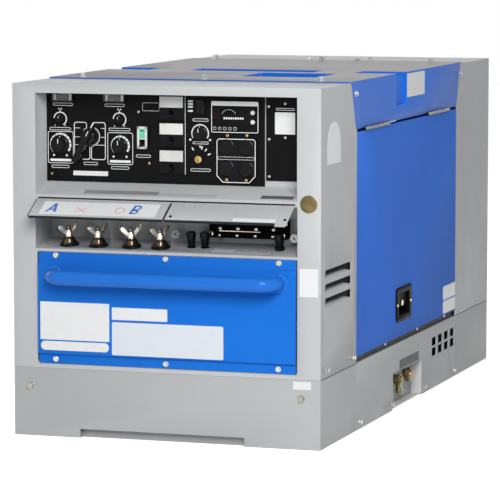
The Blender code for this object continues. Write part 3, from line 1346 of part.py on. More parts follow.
def make_terminal_block():
    """Make the screw terminal block on the bay's rear wall."""
    back = BAY_FRONT + BAY_DEPTH - FIT
    strip = block("strip", BLOCK_X, (back - BLOCK_DEPTH, back), BLOCK_Z)
    step = block("step", BLOCK_X, (back - BLOCK_DEPTH - BLOCK_STEP, back - BLOCK_STEP),
                 (BLOCK_Z[0], BLOCK_Z[0] + BLOCK_STEP_HEIGHT))
    fuse(strip, step)
    finish(strip, "terminal_block", principled("block_black", BLACK_PLASTIC, 0.4))


def make_flaps():
    """Make the two terminal flaps, standing open at their usual angle."""
    pivot_y = FRONT - FLAP_ROD - FIT
    for name, (left, right) in FLAPS:
        pivot = ((left + right) / 2, pivot_y, FLAP_Z)
        middle = pivot[0]
        flap = rod("rod", FLAP_ROD, right - left, (middle, 0, 0), "X", 12)
        plate = block("plate", (left, right), (-FLAP_ROD, -FLAP_ROD + FLAP_SHEET),
                      (-FLAP_LENGTH, 0))
        lip = block("lip", (left, right), (-FLAP_ROD, FLAP_LIP - FLAP_ROD),
                    (-FLAP_LENGTH, -FLAP_LENGTH + FLAP_SHEET))
        fuse(flap, plate, lip)
        flap.data.transform(Matrix.Translation(flap.location))
        flap.data.transform(Matrix.Rotation(math.radians(-FLAP_OPEN), 4, "X"))
        flap.location = (0, pivot_y, FLAP_Z)
        finish(flap, name, principled(name + "_paint", GREY_PAINT, 0.35), pivot)


# ======================================================================
# machinery inside
# ======================================================================

def make_generator():
    """Make the welding generator on its feet."""
    middle = (GENERATOR_FRONT + GENERATOR_REAR) / 2
    body = rod("body", GENERATOR_RADIUS, GENERATOR_REAR - GENERATOR_FRONT, (0, middle, SHAFT_Z),
               "Y", 20)
    flange = rod("flange", GENERATOR_RADIUS + FLANGE_PROUD, FLANGE_LENGTH,
                 (0, GENERATOR_REAR - FLANGE_LENGTH / 2, SHAFT_Z), "Y", 20)
    station = BEARER_STATIONS[0]
    foot = block("foot", (-GENERATOR_FOOT_HALF, GENERATOR_FOOT_HALF),
                 (station - FOOT_HALF, station + FOOT_HALF),
                 (BEARER_HEIGHT + FIT, SHAFT_Z - GENERATOR_RADIUS * GENERATOR_FOOT_TOP))
    fuse(body, flange, foot)
    finish(body, "generator", principled("generator_grey", (0.18, 0.19, 0.20), 0.5), smooth=True)


def make_engine():
    """Make the diesel engine block with its head, sump and mounting feet."""
    front = GENERATOR_REAR + FIT
    low = SHAFT_Z - ENGINE_BELOW
    block_part = block("engine", (-ENGINE_HALF, ENGINE_HALF), (front, ENGINE_REAR),
                       (low, ENGINE_TOP - HEAD_HEIGHT))
    head = block("head", (-HEAD_HALF, HEAD_HALF),
                 (front + HEAD_ENDS[0], ENGINE_REAR - HEAD_ENDS[1]),
                 (ENGINE_TOP - HEAD_HEIGHT - ENGINE_LAP, ENGINE_TOP))
    sump = block("sump", (-SUMP_HALF, SUMP_HALF),
                 (front + SUMP_ENDS[0], ENGINE_REAR - SUMP_ENDS[1]),
                 (SHAFT_Z - SUMP_BELOW, low + ENGINE_LAP))
    station = BEARER_STATIONS[1]
    foot = block("foot", (-ENGINE_FOOT_HALF, ENGINE_FOOT_HALF),
                 (station - FOOT_HALF, station + FOOT_HALF),
                 (BEARER_HEIGHT + FIT, low + ENGINE_LAP))
    fuse(block_part, head, sump, foot)
    finish(block_part, "engine", principled("engine_iron", (0.05, 0.06, 0.07), 0.55))


def make_muffler():
    """Make the exhaust muffler on its saddle over the engine."""
    drum = rod("drum", MUFFLER_RADIUS, 2 * MUFFLER_HALF, (0, MUFFLER_Y, MUFFLER_Z), "X", 20)
    saddle = block("saddle", (-SADDLE_HALF[0], SADDLE_HALF[0]),
                   (MUFFLER_Y - SADDLE_HALF[1], MUFFLER_Y + SADDLE_HALF[1]),
                   (ENGINE_TOP + FIT, MUFFLER_Z))
    fuse(drum, saddle)
    finish(drum, "muffler", principled("muffler_steel", (0.30, 0.29, 0.28), 0.6, 0.8), smooth=True)


def make_fan():
    """Make the cooling fan on the engine's shaft."""
    near = ENGINE_REAR + FIT
    hub = rod("hub", FAN_HUB, FAN_DEPTH, (0, near + FAN_DEPTH / 2, FAN_Z), "Y", 20)
    for index in range(FAN_BLADES):
        blade = block("blade", (-BLADE_HALF[0], BLADE_HALF[0]), (-BLADE_HALF[1], BLADE_HALF[1]),
                      (BLADE_ROOT, FAN_RADIUS))
        blade.data.transform(Matrix.Translation(blade.location))
        blade.location = (0, 0, 0)
        pitch = Matrix.Rotation(math.radians(BLADE_PITCH), 4, "Z")
        around = Matrix.Rotation(2 * math.pi * index / FAN_BLADES, 4, "Y")
        blade.data.transform(Matrix.Translation((0, near + FAN_DEPTH / 2, FAN_Z)) @ around @ pitch)
        fuse(hub, blade)
    finish(hub, "cooling_fan", principled("fan_black", (0.03, 0.03, 0.03), 0.5),
           (0, near + FAN_DEPTH / 2, FAN_Z))


def make_radiator():
    """Make the radiator that stands on the pan behind the fan."""
    core = block("core", (-RADIATOR_HALF, RADIATOR_HALF), RADIATOR_Y,
                 (PAN_FLOOR + FIT, RADIATOR_TOP))
    tank = block("tank", (-RADIATOR_HALF, RADIATOR_HALF), (RADIATOR_Y[0] - HEADER_PROUD,
                 RADIATOR_Y[1] + HEADER_PROUD), (RADIATOR_TOP - HEADER_DEPTH,
                 RADIATOR_TOP + HEADER_PROUD))
    fuse(core, tank)
    finish(core, "radiator", principled("radiator_black", (0.02, 0.02, 0.02), 0.6))


def make_fuel_tank():
    """Make the fuel tank on its cradle legs, with the filler neck."""
    tank = block("tank", (-TANK_HALF, TANK_HALF), TANK_Y, TANK_Z)
    legs = []
    for y in (TANK_Y[0] + LEG_FRONT, TANK_Y[1] - LEG_FRONT - LEG_WIDTH):
        for side in (-1, 1):
            x = sorted((side * TANK_HALF, side * (TANK_HALF - LEG_THICK)))
            legs.append(block("leg", x, (y, y + LEG_WIDTH),
                              (PAN_FLOOR + FIT, TANK_Z[0] + TANK_LAP)))
    neck_top = ROOF_TOP - FILLER_DEPTH + NECK_RISE
    neck = rod("neck", NECK_RADIUS, neck_top - TANK_Z[1] + TANK_LAP,
               (*FILLER_CENTRE, (neck_top + TANK_Z[1] - TANK_LAP) / 2), "Z", 20)
    fuse(tank, *legs, neck)
    finish(tank, "fuel_tank", principled("tank_paint", (0.05, 0.05, 0.05), 0.4))
    cap = turned("cap", [(0.0, CAP_HEIGHT), (CAP_RADIUS - CAP_SHOULDER, CAP_HEIGHT),
                         (CAP_RADIUS, CAP_HEIGHT - CAP_SHOULDER), (CAP_RADIUS, 0.0), (0.0, 0.0)],
                 (*FILLER_CENTRE, neck_top + FIT), "Z", KNOB_SEGMENTS)
    grip = block("grip", (FILLER_CENTRE[0] - CAP_GRIP[0], FILLER_CENTRE[0] + CAP_GRIP[0]),
                 (FILLER_CENTRE[1] - CAP_GRIP[1], FILLER_CENTRE[1] + CAP_GRIP[1]),
                 (neck_top + CAP_HEIGHT - GRIP_SINK, neck_top + CAP_HEIGHT + CAP_GRIP[2]))
    fuse(cap, grip)
    finish(cap, "fuel_cap", principled("cap_black", BLACK_PLASTIC, 0.4),
           (*FILLER_CENTRE, neck_top + FIT), smooth=True)


def make_battery():
    """Make the starter battery with its two posts."""
    case = block("case", BATTERY_X, BATTERY_Y, (PAN_FLOOR + FIT, BATTERY_TOP))
    posts = []
    for x in (BATTERY_X[0] + POST_MARGIN[0], BATTERY_X[1] - POST_MARGIN[0]):
        posts.append(rod("post", POST_RADIUS, POST_LENGTH, (x, BATTERY_Y[0] + POST_MARGIN[1],
                         BATTERY_TOP - POST_SINK + POST_LENGTH / 2), "Z", 12))
    fuse(case, *posts)
    finish(case, "battery", principled("battery_case", (0.05, 0.05, 0.06), 0.5))


def main():
    """Build the whole welder."""
    make_base_pan()
    make_base_skirts()
    make_base_side_covers()
    make_drain_fittings()
    make_front_housing()
    make_rear_housing()
    make_bonnet()
    make_lifting_frame()
    make_side_doors()
    make_front_cover()
    make_front_handle()
    make_control_panel()
    make_knobs()
    make_selector_lever()
    make_breakers()
    make_rocker()
    make_key_switch()
    make_monitor()
    make_outlets()
    make_terminal_bay()
    make_terminal_board()
    make_wing_nuts()
    make_terminal_caps()
    make_terminal_block()
    make_flaps()
    make_generator()
    make_engine()
    make_muffler()
    make_fan()
    make_radiator()
    make_fuel_tank()
    make_battery()


clear_scene()
PARTS = new_collection(OBJECT_NAME)
main()
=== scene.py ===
"""Looks of the engine driven welder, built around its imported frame.  Metres, +Z up."""
import json
from math import atan2, cos, pi, radians, sin

import bmesh
import bpy
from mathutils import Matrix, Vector


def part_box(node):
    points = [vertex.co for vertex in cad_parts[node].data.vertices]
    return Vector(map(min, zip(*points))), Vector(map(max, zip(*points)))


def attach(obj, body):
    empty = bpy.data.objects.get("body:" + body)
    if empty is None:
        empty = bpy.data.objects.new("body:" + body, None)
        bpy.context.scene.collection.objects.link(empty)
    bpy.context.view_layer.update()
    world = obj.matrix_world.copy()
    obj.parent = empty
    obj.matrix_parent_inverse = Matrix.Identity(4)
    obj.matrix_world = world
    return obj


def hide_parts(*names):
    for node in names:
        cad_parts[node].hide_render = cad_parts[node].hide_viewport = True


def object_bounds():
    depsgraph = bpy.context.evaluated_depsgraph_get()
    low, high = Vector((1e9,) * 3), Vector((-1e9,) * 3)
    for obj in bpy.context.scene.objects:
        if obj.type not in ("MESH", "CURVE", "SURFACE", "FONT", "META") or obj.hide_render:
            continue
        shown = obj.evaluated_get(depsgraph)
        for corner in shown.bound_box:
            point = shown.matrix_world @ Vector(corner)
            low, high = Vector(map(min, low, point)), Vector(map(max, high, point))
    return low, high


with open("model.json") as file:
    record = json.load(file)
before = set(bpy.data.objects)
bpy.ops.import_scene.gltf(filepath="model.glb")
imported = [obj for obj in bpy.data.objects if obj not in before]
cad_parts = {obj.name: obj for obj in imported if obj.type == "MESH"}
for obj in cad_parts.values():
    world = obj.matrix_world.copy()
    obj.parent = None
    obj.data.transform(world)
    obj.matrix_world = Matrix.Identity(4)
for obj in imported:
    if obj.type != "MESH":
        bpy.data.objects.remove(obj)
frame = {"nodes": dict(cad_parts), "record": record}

CAD_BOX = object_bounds()
BODY_OF = {node: body for body, nodes in frame["record"]["behaviour"]["bodies"].items()
           for node in nodes}

X, Y, Z = (1, 0, 0), (0, 1, 0), (0, 0, 1)
MM = 0.001
INK = (-0.05, 0.14)     # foot and top of a printed line over its face, in millimetres
SUNK = -0.1             # height of a stuck-on piece's foot: a little inside its face
MERGE = 0.00001         # corners of a CAD node closer than this are one
FLAT = radians(1)       # edges of a CAD node flatter than this are dissolved
SHARP = radians(40)     # edges sharper than this are rounded
HEXAGON = 6

# ---- where things are, mostly from the frame ----
FRONT_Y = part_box("front_housing")[0].y
HALF_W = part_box("front_housing")[1].x
HOUSING_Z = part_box("front_housing")[1].z
ROOF_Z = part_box("bonnet")[1].z
REAR_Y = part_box("rear_housing")[1].y
PANEL_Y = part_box("control_panel")[0].y
PANEL_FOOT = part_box("control_panel")[0].z
BLOCK_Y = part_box("terminal_block")[0].y
BLOCK_STEP = 0.006      # the screw block's upper row stands this far behind its lower one
RECESS_LOW = 0.53       # front edge of the control recess's floor, and its depth
RECESS_DEPTH = 0.0691
HINGE_Z = 0.6645        # axis of the door hinges
DRAIN_DEPTH = 0.0274    # the drain recess's wall behind the side


# ---- faces and outlines ----

class Face:
    """A flat face with its own axes: u to the right, v up, n out of it."""

    def __init__(self, origin, u, v):
        self.origin = Vector(origin)
        self.u = Vector(u)
        self.v = Vector(v)
        self.n = self.u.cross(self.v)

    def at(self, a, b, h=0):
        """Point from face coordinates and height, all in millimetres."""
        return self.origin + (self.u * a + self.v * b + self.n * h) * MM

    def stood(self, a, b, turn):
        """A face standing on this one at a place, turned about its normal."""
        return Face(self.at(a, b), self.u * cos(turn) + self.v * sin(turn), self.n)


def upright(y):
    """A face across the machine that looks to the front."""
    return Face((0, y, 0), X, Z)


def sloped(y, z, tilt):
    """A face across the machine that climbs to the rear."""
    return Face((0, y, z), X, (0, cos(tilt), sin(tilt)))


def side_face(mirror):
    """The right (1) or left (-1) side, with places measured along +Y on both."""
    face = Face((mirror * HALF_W, 0, 0), Y, Z)
    face.n *= mirror
    return face


FRONT = upright(FRONT_Y)
PANEL = upright(PANEL_Y)
BAY_WALL = upright(-0.6374)
BLOCK_UPPER = upright(BLOCK_Y + BLOCK_STEP)
BLOCK_LOWER = upright(BLOCK_Y)
RIGHT = side_face(1)
LEFT = Face((-HALF_W, 0, 0), (0, -1, 0), Z)
BACK = Face((0, REAR_Y, 0), (-1, 0, 0), Z)
ROOF = Face((0, 0, ROOF_Z), X, Y)
HOUSING_ROOF = Face((0, 0, HOUSING_Z), X, Y)
DRAIN = Face((HALF_W - DRAIN_DEPTH, 0, 0), Y, Z)
SILL = sloped(FRONT_Y, RECESS_LOW, atan2(PANEL_FOOT - RECESS_LOW, RECESS_DEPTH))
BAY_FLOOR = sloped(-0.7324, 0.412, atan2(16, 95))
FLAP_TOP = sloped(-0.7378, 0.519, radians(30))
FLAP_TOP.origin = FLAP_TOP.at(0, 0, 2.5)


def polar(a, b, radius, angle):
    """The place at a distance and an angle in radians from +u."""
    return a + radius * cos(angle), b + radius * sin(angle)


def circle(a, b, radius, count, turn=0):
    """Outline of a regular polygon or circle."""
    return [polar(a, b, radius, turn + 2 * pi * i / count) for i in range(count)]


def arc_points(a, b, radius, start, end, steps=12):
    """Points along an arc, in degrees."""
    return [polar(a, b, radius, radians(start + (end - start) * i / steps))
            for i in range(steps + 1)]


def rounded(a, b, radius, steps=4):
    """Outline of a rectangle, between (low, high) pairs, with rounded corners."""
    points = []
    for start, x, z in ((0, a[1] - radius, b[1] - radius), (90, a[0] + radius, b[1] - radius),
                        (180, a[0] + radius, b[0] + radius), (270, a[1] - radius, b[0] + radius)):
        points += arc_points(x, z, radius, start, start + 90, steps)
    return points


# ---- pieces ----

def settled(thing, **settings):
    """The thing, with its settings made."""
    for name, value in settings.items():
        setattr(thing, name, value)
    return thing


def put(name, data, **settings):
    """A new object in the scene."""
    thing = settled(bpy.data.objects.new(name, data), **settings)
    bpy.context.scene.collection.objects.link(thing)
    return thing


def place(name, mesh, material, body, node=None, bevel=0, segments=2, smooth=0):
    """Put a mesh in the scene as a piece on a body; it may stand for a CAD node."""
    mesh.materials.clear()
    mesh.materials.append(material)
    thing = put(name, mesh)
    if smooth:
        mesh.shade_smooth()
        mesh.set_sharp_from_angle(angle=radians(smooth))
    if bevel:
        settled(thing.modifiers.new("rounding", "BEVEL"), width=bevel * MM, segments=segments,
                limit_method="ANGLE", angle_limit=SHARP, use_clamp_overlap=True,
                harden_normals=True)
        mesh.shade_smooth()
    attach(thing, body)
    if node:
        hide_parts(node)
    return thing


def skin(node, material, width):
    """Stand a rounded-edge copy of a CAD node in its place."""
    mesh = frame["nodes"][node].data.copy()
    work = bmesh.new()
    work.from_mesh(mesh)
    bmesh.ops.remove_doubles(work, verts=work.verts, dist=MERGE)
    bmesh.ops.dissolve_limit(work, angle_limit=FLAT, verts=work.verts, edges=work.edges)
    work.to_mesh(mesh)
    work.free()
    return place(node + "_skin", mesh, material, BODY_OF[node], node, width)


class Piece:
    """Solids on a face that become one piece; places and sizes are in millimetres."""

    def __init__(self, name, face=PANEL):
        self.name = name
        self.face = face
        self.work = bmesh.new()

    def on(self, face):
        """Go on building on another face."""
        self.face = face
        return self

    def ring(self, outline, height):
        """New corners along an outline."""
        return [self.work.verts.new(self.face.at(*spot, height)) for spot in outline]

    def wall(self, low, high):
        """Faces between two rings, one of which may be a single point."""
        count = max(len(low), len(high))
        for i in range(count):
            j = (i + 1) % count
            corners = (low[i % len(low)], low[j % len(low)], high[j % len(high)],
                       high[i % len(high)])
            self.work.faces.new(list(dict.fromkeys(corners)))

    def slab(self, outline, heights=INK):
        """A prism: a closed outline between two heights."""
        low, high = (self.ring(outline, height) for height in heights)
        self.work.faces.new(low[::-1])
        self.work.faces.new(high)
        self.wall(low, high)
        return self

    def box(self, a, b, heights=INK):
        """A box between (low, high) pairs."""
        return self.slab([(a[0], b[0]), (a[1], b[0]), (a[1], b[1]), (a[0], b[1])], heights)

    def bar(self, start, end, width, heights=INK):
        """A straight bar between two places."""
        half = Vector((end[0] - start[0], end[1] - start[1])).normalized() * width / 2
        return self.slab([(a + side * half.y, b - side * half.x) for (a, b), side in
                          ((start, 1), (end, 1), (end, -1), (start, -1))], heights)

    def lathe(self, a, b, profile, count=24):
        """A solid of revolution: (radius, height) from the foot up."""
        rings = [self.ring(circle(a, b, radius, count) if radius else [(a, b)], height)
                 for radius, height in profile]
        self.work.faces.new(rings[0][::-1])
        for low, high in zip(rings, rings[1:]):
            self.wall(low, high)
        if len(rings[-1]) > 1:
            self.work.faces.new(rings[-1])
        return self

    def screw(self, a, b, radius, base):
        """A pan-head screw."""
        return self.lathe(a, b, [(radius, base), (radius, base + 0.7), (radius * 0.86, base + 1.5),
                                 (radius * 0.5, base + 1.9), (0, base + 2)], 16)

    def band(self, outer, inner, heights, closed=True):
        """A band between two lines of places."""
        count = len(outer)
        low_out, high_out, low_in, high_in = (
            self.ring(line, height) for line in (outer, inner) for height in heights)
        section = (high_out, high_in, low_in, low_out)
        for i in range(count if closed else count - 1):
            j = (i + 1) % count
            for here, beside in zip(section, section[1:] + section[:1]):
                self.work.faces.new((here[i], here[j], beside[j], beside[i]))
        if not closed:
            for end in (0, -1):
                self.work.faces.new([line[end] for line in section])
        return self

    def arc_band(self, a, b, radii, angles, heights=INK, steps=24):
        """A ring, or part of one, between two radii; angles in degrees from +u."""
        closed = angles[1] - angles[0] == 360
        count = steps if closed else steps + 1
        inner, outer = (arc_points(a, b, radius, *angles, steps)[:count] for radius in radii)
        return self.band(inner, outer, heights, closed)

    def outline_band(self, outline, width, heights=INK):
        """A closed line of a given width, inside an outline."""
        spots = [Vector(spot) for spot in outline]
        inner = []
        for before, here, after in zip(spots[-1:] + spots, spots, spots[1:] + spots[:1]):
            along = ((here - before).normalized() + (after - here).normalized()).normalized()
            inner.append(here + Vector((-along.y, along.x)) * width)
        return self.band(spots, inner, heights)

    def polyline(self, points, width, heights=INK):
        """A line through points, as overlapping bars with round joints."""
        for start, end in zip(points, points[1:]):
            self.bar(start, end, width, heights)
        for point in points:
            self.slab(circle(*point, width / 2, 10), (heights[0], heights[1] + 0.003))
        return self

    def tube(self, points, radius, sides):
        """A round bar through points in metres."""
        curve = settled(bpy.data.curves.new("guide", "CURVE"), dimensions="3D",
                        bevel_depth=radius, bevel_resolution=sides, use_fill_caps=True)
        spline = curve.splines.new("POLY")
        spline.points.add(len(points) - 1)
        for point, spot in zip(spline.points, points):
            point.co = (*spot, 1)
        guide = put("guide", curve)
        mesh = bpy.data.meshes.new_from_object(guide.evaluated_get(
            bpy.context.evaluated_depsgraph_get()))
        bpy.data.objects.remove(guide)
        bpy.data.curves.remove(curve)
        self.work.from_mesh(mesh)
        bpy.data.meshes.remove(mesh)
        bmesh.ops.remove_doubles(self.work, verts=self.work.verts, dist=MERGE / 10)
        return self

    def build(self, material, body="case", **finish):
        """Make the piece."""
        bmesh.ops.recalc_face_normals(self.work, faces=self.work.faces)
        mesh = bpy.data.meshes.new(self.name)
        self.work.to_mesh(mesh)
        self.work.free()
        return place(self.name, mesh, material, body, **finish)


# ---- materials ----

class Nodes:
    """A small helper around the node tree of a material or world."""

    def __init__(self, name, library=bpy.data.materials):
        self.owner = library.new(name)
        self.owner.use_nodes = True
        self.tree = self.owner.node_tree
        self.shader = self.tree.nodes.get("Principled BSDF")

    def feed(self, node, sockets):
        """Give sockets a number, a colour or another node's output."""
        for name, value in dict(sockets).items():
            if isinstance(value, bpy.types.NodeSocket):
                self.tree.links.new(value, node.inputs[name])
            else:
                colour = isinstance(value, tuple)
                node.inputs[name].default_value = (*value, 1) if colour else value

    def add(self, kind, sockets=(), **settings):
        """A new node with its settings made and its sockets fed."""
        node = settled(self.tree.nodes.new("ShaderNode" + kind), **settings)
        self.feed(node, sockets)
        return node

    def coords(self):
        """Object coordinates, in metres."""
        return self.add("TexCoord").outputs["Object"]

    def noise(self, scale, detail=2, roughness=0.5):
        """A noise texture's factor."""
        return self.add("TexNoise", {"Vector": self.coords(), "Scale": scale, "Detail": detail,
                                     "Roughness": roughness}).outputs["Fac"]

    def remap(self, value, into_low, into_high, low=0.3, high=0.7):
        """A value stretched from one range into another."""
        return self.add("MapRange", {"Value": value, "From Min": low, "From Max": high,
                                     "To Min": into_low, "To Max": into_high}).outputs["Result"]

    def math(self, operation, *values):
        """A sum, product or the like of two values."""
        return self.add("Math", enumerate(values), operation=operation).outputs[0]

    def mix(self, factor, a, b):
        """Mix two colours, each a tuple or a socket."""
        return self.add("Mix", data_type="RGBA", clamp_factor=True,
                        sockets={0: factor, 6: a, 7: b}).outputs[2]

    def cloud(self, noise, a, b, low=0.3, high=0.7):
        """Two colours clouded into each other."""
        return self.mix(self.remap(noise, 0, 1, low, high), a, b)

    def shade(self, colour, roughness, **others):
        """Feed the shader; other sockets are named with underscores."""
        self.feed(self.shader, {"Base Color": colour, "Roughness": roughness})
        self.feed(self.shader, {name.replace("_", " "): value for name, value in others.items()})

    def bump(self, value, strength, distance):
        """Roughen the shader's normal."""
        node = self.add("Bump", {"Strength": strength, "Distance": distance, "Height": value})
        self.feed(self.shader, {"Normal": node.outputs["Normal"]})

    def edge_mask(self):
        """1 on convex and concave edges, 0 on flats."""
        bevel = self.add("Bevel", {"Radius": 0.0012}, samples=4).outputs["Normal"]
        flat = self.add("NewGeometry").outputs["Normal"]
        dot = self.add("VectorMath", {0: bevel, 1: flat}, operation="DOT_PRODUCT")
        return self.remap(dot.outputs["Value"], 0, 1, 0.995, 0.9)

    def above(self, level, width=0.0004):
        """1 where Z is over a level."""
        split = self.add("SeparateXYZ", {0: self.coords()})
        return self.remap(split.outputs["Z"], 0, 1, level - width, level + width)

    def seen_directly(self):
        """1 for camera, glossy and transmission rays, 0 for the rays that light things."""
        path = self.add("LightPath").outputs
        seen = self.math("MAXIMUM", path["Is Camera Ray"], path["Is Glossy Ray"])
        return self.math("MAXIMUM", seen, path["Is Transmission Ray"])


def scaled(colour, factor):
    """A lighter or darker colour."""
    return tuple(min(1, channel * factor) for channel in colour)


def paint(name, colour, rough=0.34, coat=0.06, peel=0.05, wear=0.5, top=None, spec=0.12,
          swing=0.06, scuff=0.12):
    """Sprayed enamel: orange peel, slight mottling, lighter worn edges."""
    n = Nodes(name)
    base = n.cloud(n.noise(3.5, 3), scaled(colour, 0.96), scaled(colour, 1.04))
    # Painted reflection: faces at the roof's height take the top colour, a grey standing in for
    # the blue roof's grazing reflection.
    if top:
        base = n.mix(n.above(ROOF_Z - 0.0006), base, top)
    scuffs = n.remap(n.noise(55, 6, 0.65), 0, 0.35, 0.6, 0.74)
    base = n.mix(n.math("MULTIPLY", scuffs, scuff), base, scaled(colour, 0.78))
    chips = n.remap(n.noise(260, 3), 0, wear, 0.42, 0.62)
    base = n.mix(n.math("MULTIPLY", n.edge_mask(), chips), base,
                 tuple(0.55 * channel + 0.3 for channel in colour))
    n.shade(base, n.remap(n.noise(18, 4), rough - swing, rough + swing), Coat_Weight=coat,
            Specular_IOR_Level=spec, Coat_Roughness=0.12)
    n.bump(n.noise(140), peel, 0.0004)
    return n.owner


def moulded(name, colour, rough=0.42, grain=0.25, scale=900, spec=0.22):
    """Moulded plastic or rubber with a fine grain."""
    n = Nodes(name)
    n.shade(n.cloud(n.noise(30, 4), scaled(colour, 0.9), scaled(colour, 1.1)),
            n.remap(n.noise(60, 3), rough - 0.06, rough + 0.06), Specular_IOR_Level=spec)
    n.bump(n.noise(scale), grain, 0.0002)
    return n.owner


def metal(name, colour, rough=0.25, grain=0.08, tarnish=0.15):
    """Plated or turned metal with tarnish."""
    n = Nodes(name)
    n.shade(n.cloud(n.noise(80, 4), colour, scaled(colour, 1 - tarnish), 0.35),
            n.remap(n.noise(300, 3, 0.6), rough - 0.06, rough + 0.1), Metallic=1)
    n.bump(n.noise(300), grain, 0.0001)
    return n.owner


def film(name, colour, spec=0.5):
    """Printed ink or a bare sticker: almost even, slightly soiled."""
    n = Nodes(name)
    n.shade(n.cloud(n.noise(45, 5), colour, scaled(colour, 0.97), 0.35, 0.75),
            n.remap(n.noise(90), 0.31, 0.41), Specular_IOR_Level=spec)
    n.bump(n.noise(700, 1), 0.04, 0.0001)
    return n.owner


def clear(name, tint=(0.9, 0.92, 0.92)):
    """Thin clear plastic: a faint veil that shows what lies behind it."""
    n = Nodes(name)
    n.shade(n.cloud(n.noise(40), tint, scaled(tint, 0.96)), n.remap(n.noise(120), 0.08, 0.12),
            Specular_IOR_Level=0.1, Alpha=0.1)
    return n.owner


def wound(name, colour, axis, pitch):
    """Fins or windings: fine ribs across one axis."""
    n = Nodes(name)
    wave = n.add("TexWave", {"Scale": 0.314 / pitch, "Distortion": 0.3, "Vector": n.coords()},
                 bands_direction=axis).outputs["Fac"]
    n.shade(n.mix(wave, scaled(colour, 0.45), scaled(colour, 1.3)),
            n.remap(n.noise(40), 0.44, 0.56))
    n.bump(wave, 0.6, 0.0012)
    return n.owner


GREY = (0.53, 0.545, 0.55)
BLUE = (0.062, 0.225, 0.86)
# Painted shade: a darker copy of BLUE for faces that look to the front, set against the stronger
# light that falls on them.
FRONT_SHADED_BLUE = (0.014, 0.168, 0.66)
# Painted reflection: the grey that stands for the grazing reflection on the blue roof's top.
ROOF_TOP_REFLECTION_GREY = (0.35, 0.338, 0.35)
EVEN = {"coat": 0, "spec": 0.02, "swing": 0.02, "scuff": 0.05}   # smooth, hardly marked

GREY_PAINT = paint("grey_enamel", GREY, spec=0.03)
GREY_BASE = paint("grey_base_enamel", (0.48, 0.495, 0.492), 0.38, spec=0.03)
# Painted shade: a darker grey for the terminal bay and the base pan, where shade falls inside the
# case.
GREY_PAINTED_SHADE = paint("grey_enamel_painted_shade", (0.36, 0.37, 0.38), 0.22, coat=0.15, spec=0.4)
GREY_FLAP = paint("grey_flap_enamel", (0.5, 0.505, 0.52), 0.28)
BLUE_PAINT = paint("blue_enamel", BLUE, 0.54, peel=0.012, **EVEN)
BLUE_BONNET = paint("blue_bonnet_enamel", BLUE, peel=0.012, top=ROOF_TOP_REFLECTION_GREY, **EVEN)
BLUE_FRONT_SHADED = paint("blue_enamel_front_shaded", FRONT_SHADED_BLUE, 0.24, 0, 0.015, spec=0.03, swing=0.02,
                   scuff=0.06)
BLUE_HANDLE_SHADED = paint("blue_handle_enamel_shaded", FRONT_SHADED_BLUE, 0.12, 0.1, 0.01, spec=0.1, swing=0.02,
                    scuff=0.05)
# Painted light: the drain recess's lining is given a lighter grey against the shade in the recess.
LINING_GREY_PAINTED_LIGHT = paint("grey_lining_painted_light", (0.72, 0.73, 0.72), 0.38, spec=0.03)
# Painted shade: the door blue darkened for the hinge rails, as they lie in shade.
BLUE_RAIL_SHADED = paint("blue_rail_painted_shade", scaled(BLUE, 0.6), 0.38)
DARK_PAINT = paint("dark_frame_enamel", (0.075, 0.078, 0.082), 0.42, wear=0.3)
PANEL_BLACK = moulded("panel_black", (0.006, 0.006, 0.006), 0.42, 0.08, 1500, 0.06)
KNOB_BLACK = moulded("knob_black", (0.005, 0.005, 0.006), 0.2, 0.06, spec=0.16)
BODY_BLACK_AND_SLOT_SHADE = moulded("body_black_and_slot_shade", (0.007, 0.007, 0.008), 0.46, 0.3, spec=0.08)
LATCH_BLACK = moulded("latch_black", (0.005, 0.005, 0.006), 0.34, 0.08, spec=0.01)
# Black for the terminal block, and painted shade behind the door louvres.
BLACK_AND_PAINTED_SHADE = moulded("black_and_painted_shade", (0.004, 0.004, 0.004), 0.6, 0.1, spec=0.02)
SLOT_SHADE_BLACK = moulded("slot_painted_shade", (0.003, 0.003, 0.003), 0.7, 0.1)
RIM_BLACK = moulded("rim_black", (0.004, 0.004, 0.004), 0.3, 0.05, spec=0.15)
METER_BLACK = moulded("meter_face", (0.016, 0.016, 0.018), 0.35, 0.05)
# Black rubber; also the strips of painted shade in the cover's gaps, under the flaps' lips and
# over their hinge.
RUBBER_AND_PAINTED_SHADE = moulded("rubber_black_and_painted_shade", (0.014, 0.014, 0.015), 0.62, 0.5, 600)
TANK_SKIN = moulded("tank_black", (0.035, 0.036, 0.038), 0.45, 0.4, 300)
WHITE_BODY = moulded("module_white", (0.7, 0.71, 0.69), 0.38, 0.1)
DISC_WHITE = moulded("disc_white", (0.86, 0.86, 0.84), 0.34, 0.05)
GREEN_WINDOW = moulded("window_green", (0.14, 0.6, 0.36), 0.25, 0.05)
RED_LAMP = moulded("lamp_red", (0.14, 0.02, 0.02), 0.2, 0.05)
WHITE_INK = film("white_ink", (0.86, 0.87, 0.86))
DIM_INK = film("dim_ink", (0.16, 0.16, 0.16))
WHITE_STICKER = film("white_sticker", (0.8, 0.81, 0.8))
PALE_STICKER = film("pale_sticker", (0.72, 0.76, 0.8))
DRAIN_STICKER = film("drain_sticker", (0.12, 0.12, 0.125), 0.03)
BLUE_MARK = film("blue_mark", (0.03, 0.2, 0.62))
RED_MARK = film("pale_red_mark", (0.75, 0.2, 0.17))
CHROME = metal("chrome_plate", (0.88, 0.79, 0.67), 0.14, 0.03)
STEEL = metal("zinc_steel", (0.62, 0.61, 0.57), 0.28, 0.1)
DULL_BOLT = metal("dull_steel", (0.38, 0.36, 0.31), 0.2, 0.1)
STUD_STEEL = metal("dark_stud", (0.2, 0.19, 0.18), 0.28, 0.1)
HINGE_STEEL = metal("hinge_steel", (0.13, 0.115, 0.09), 0.2, tarnish=0.55)
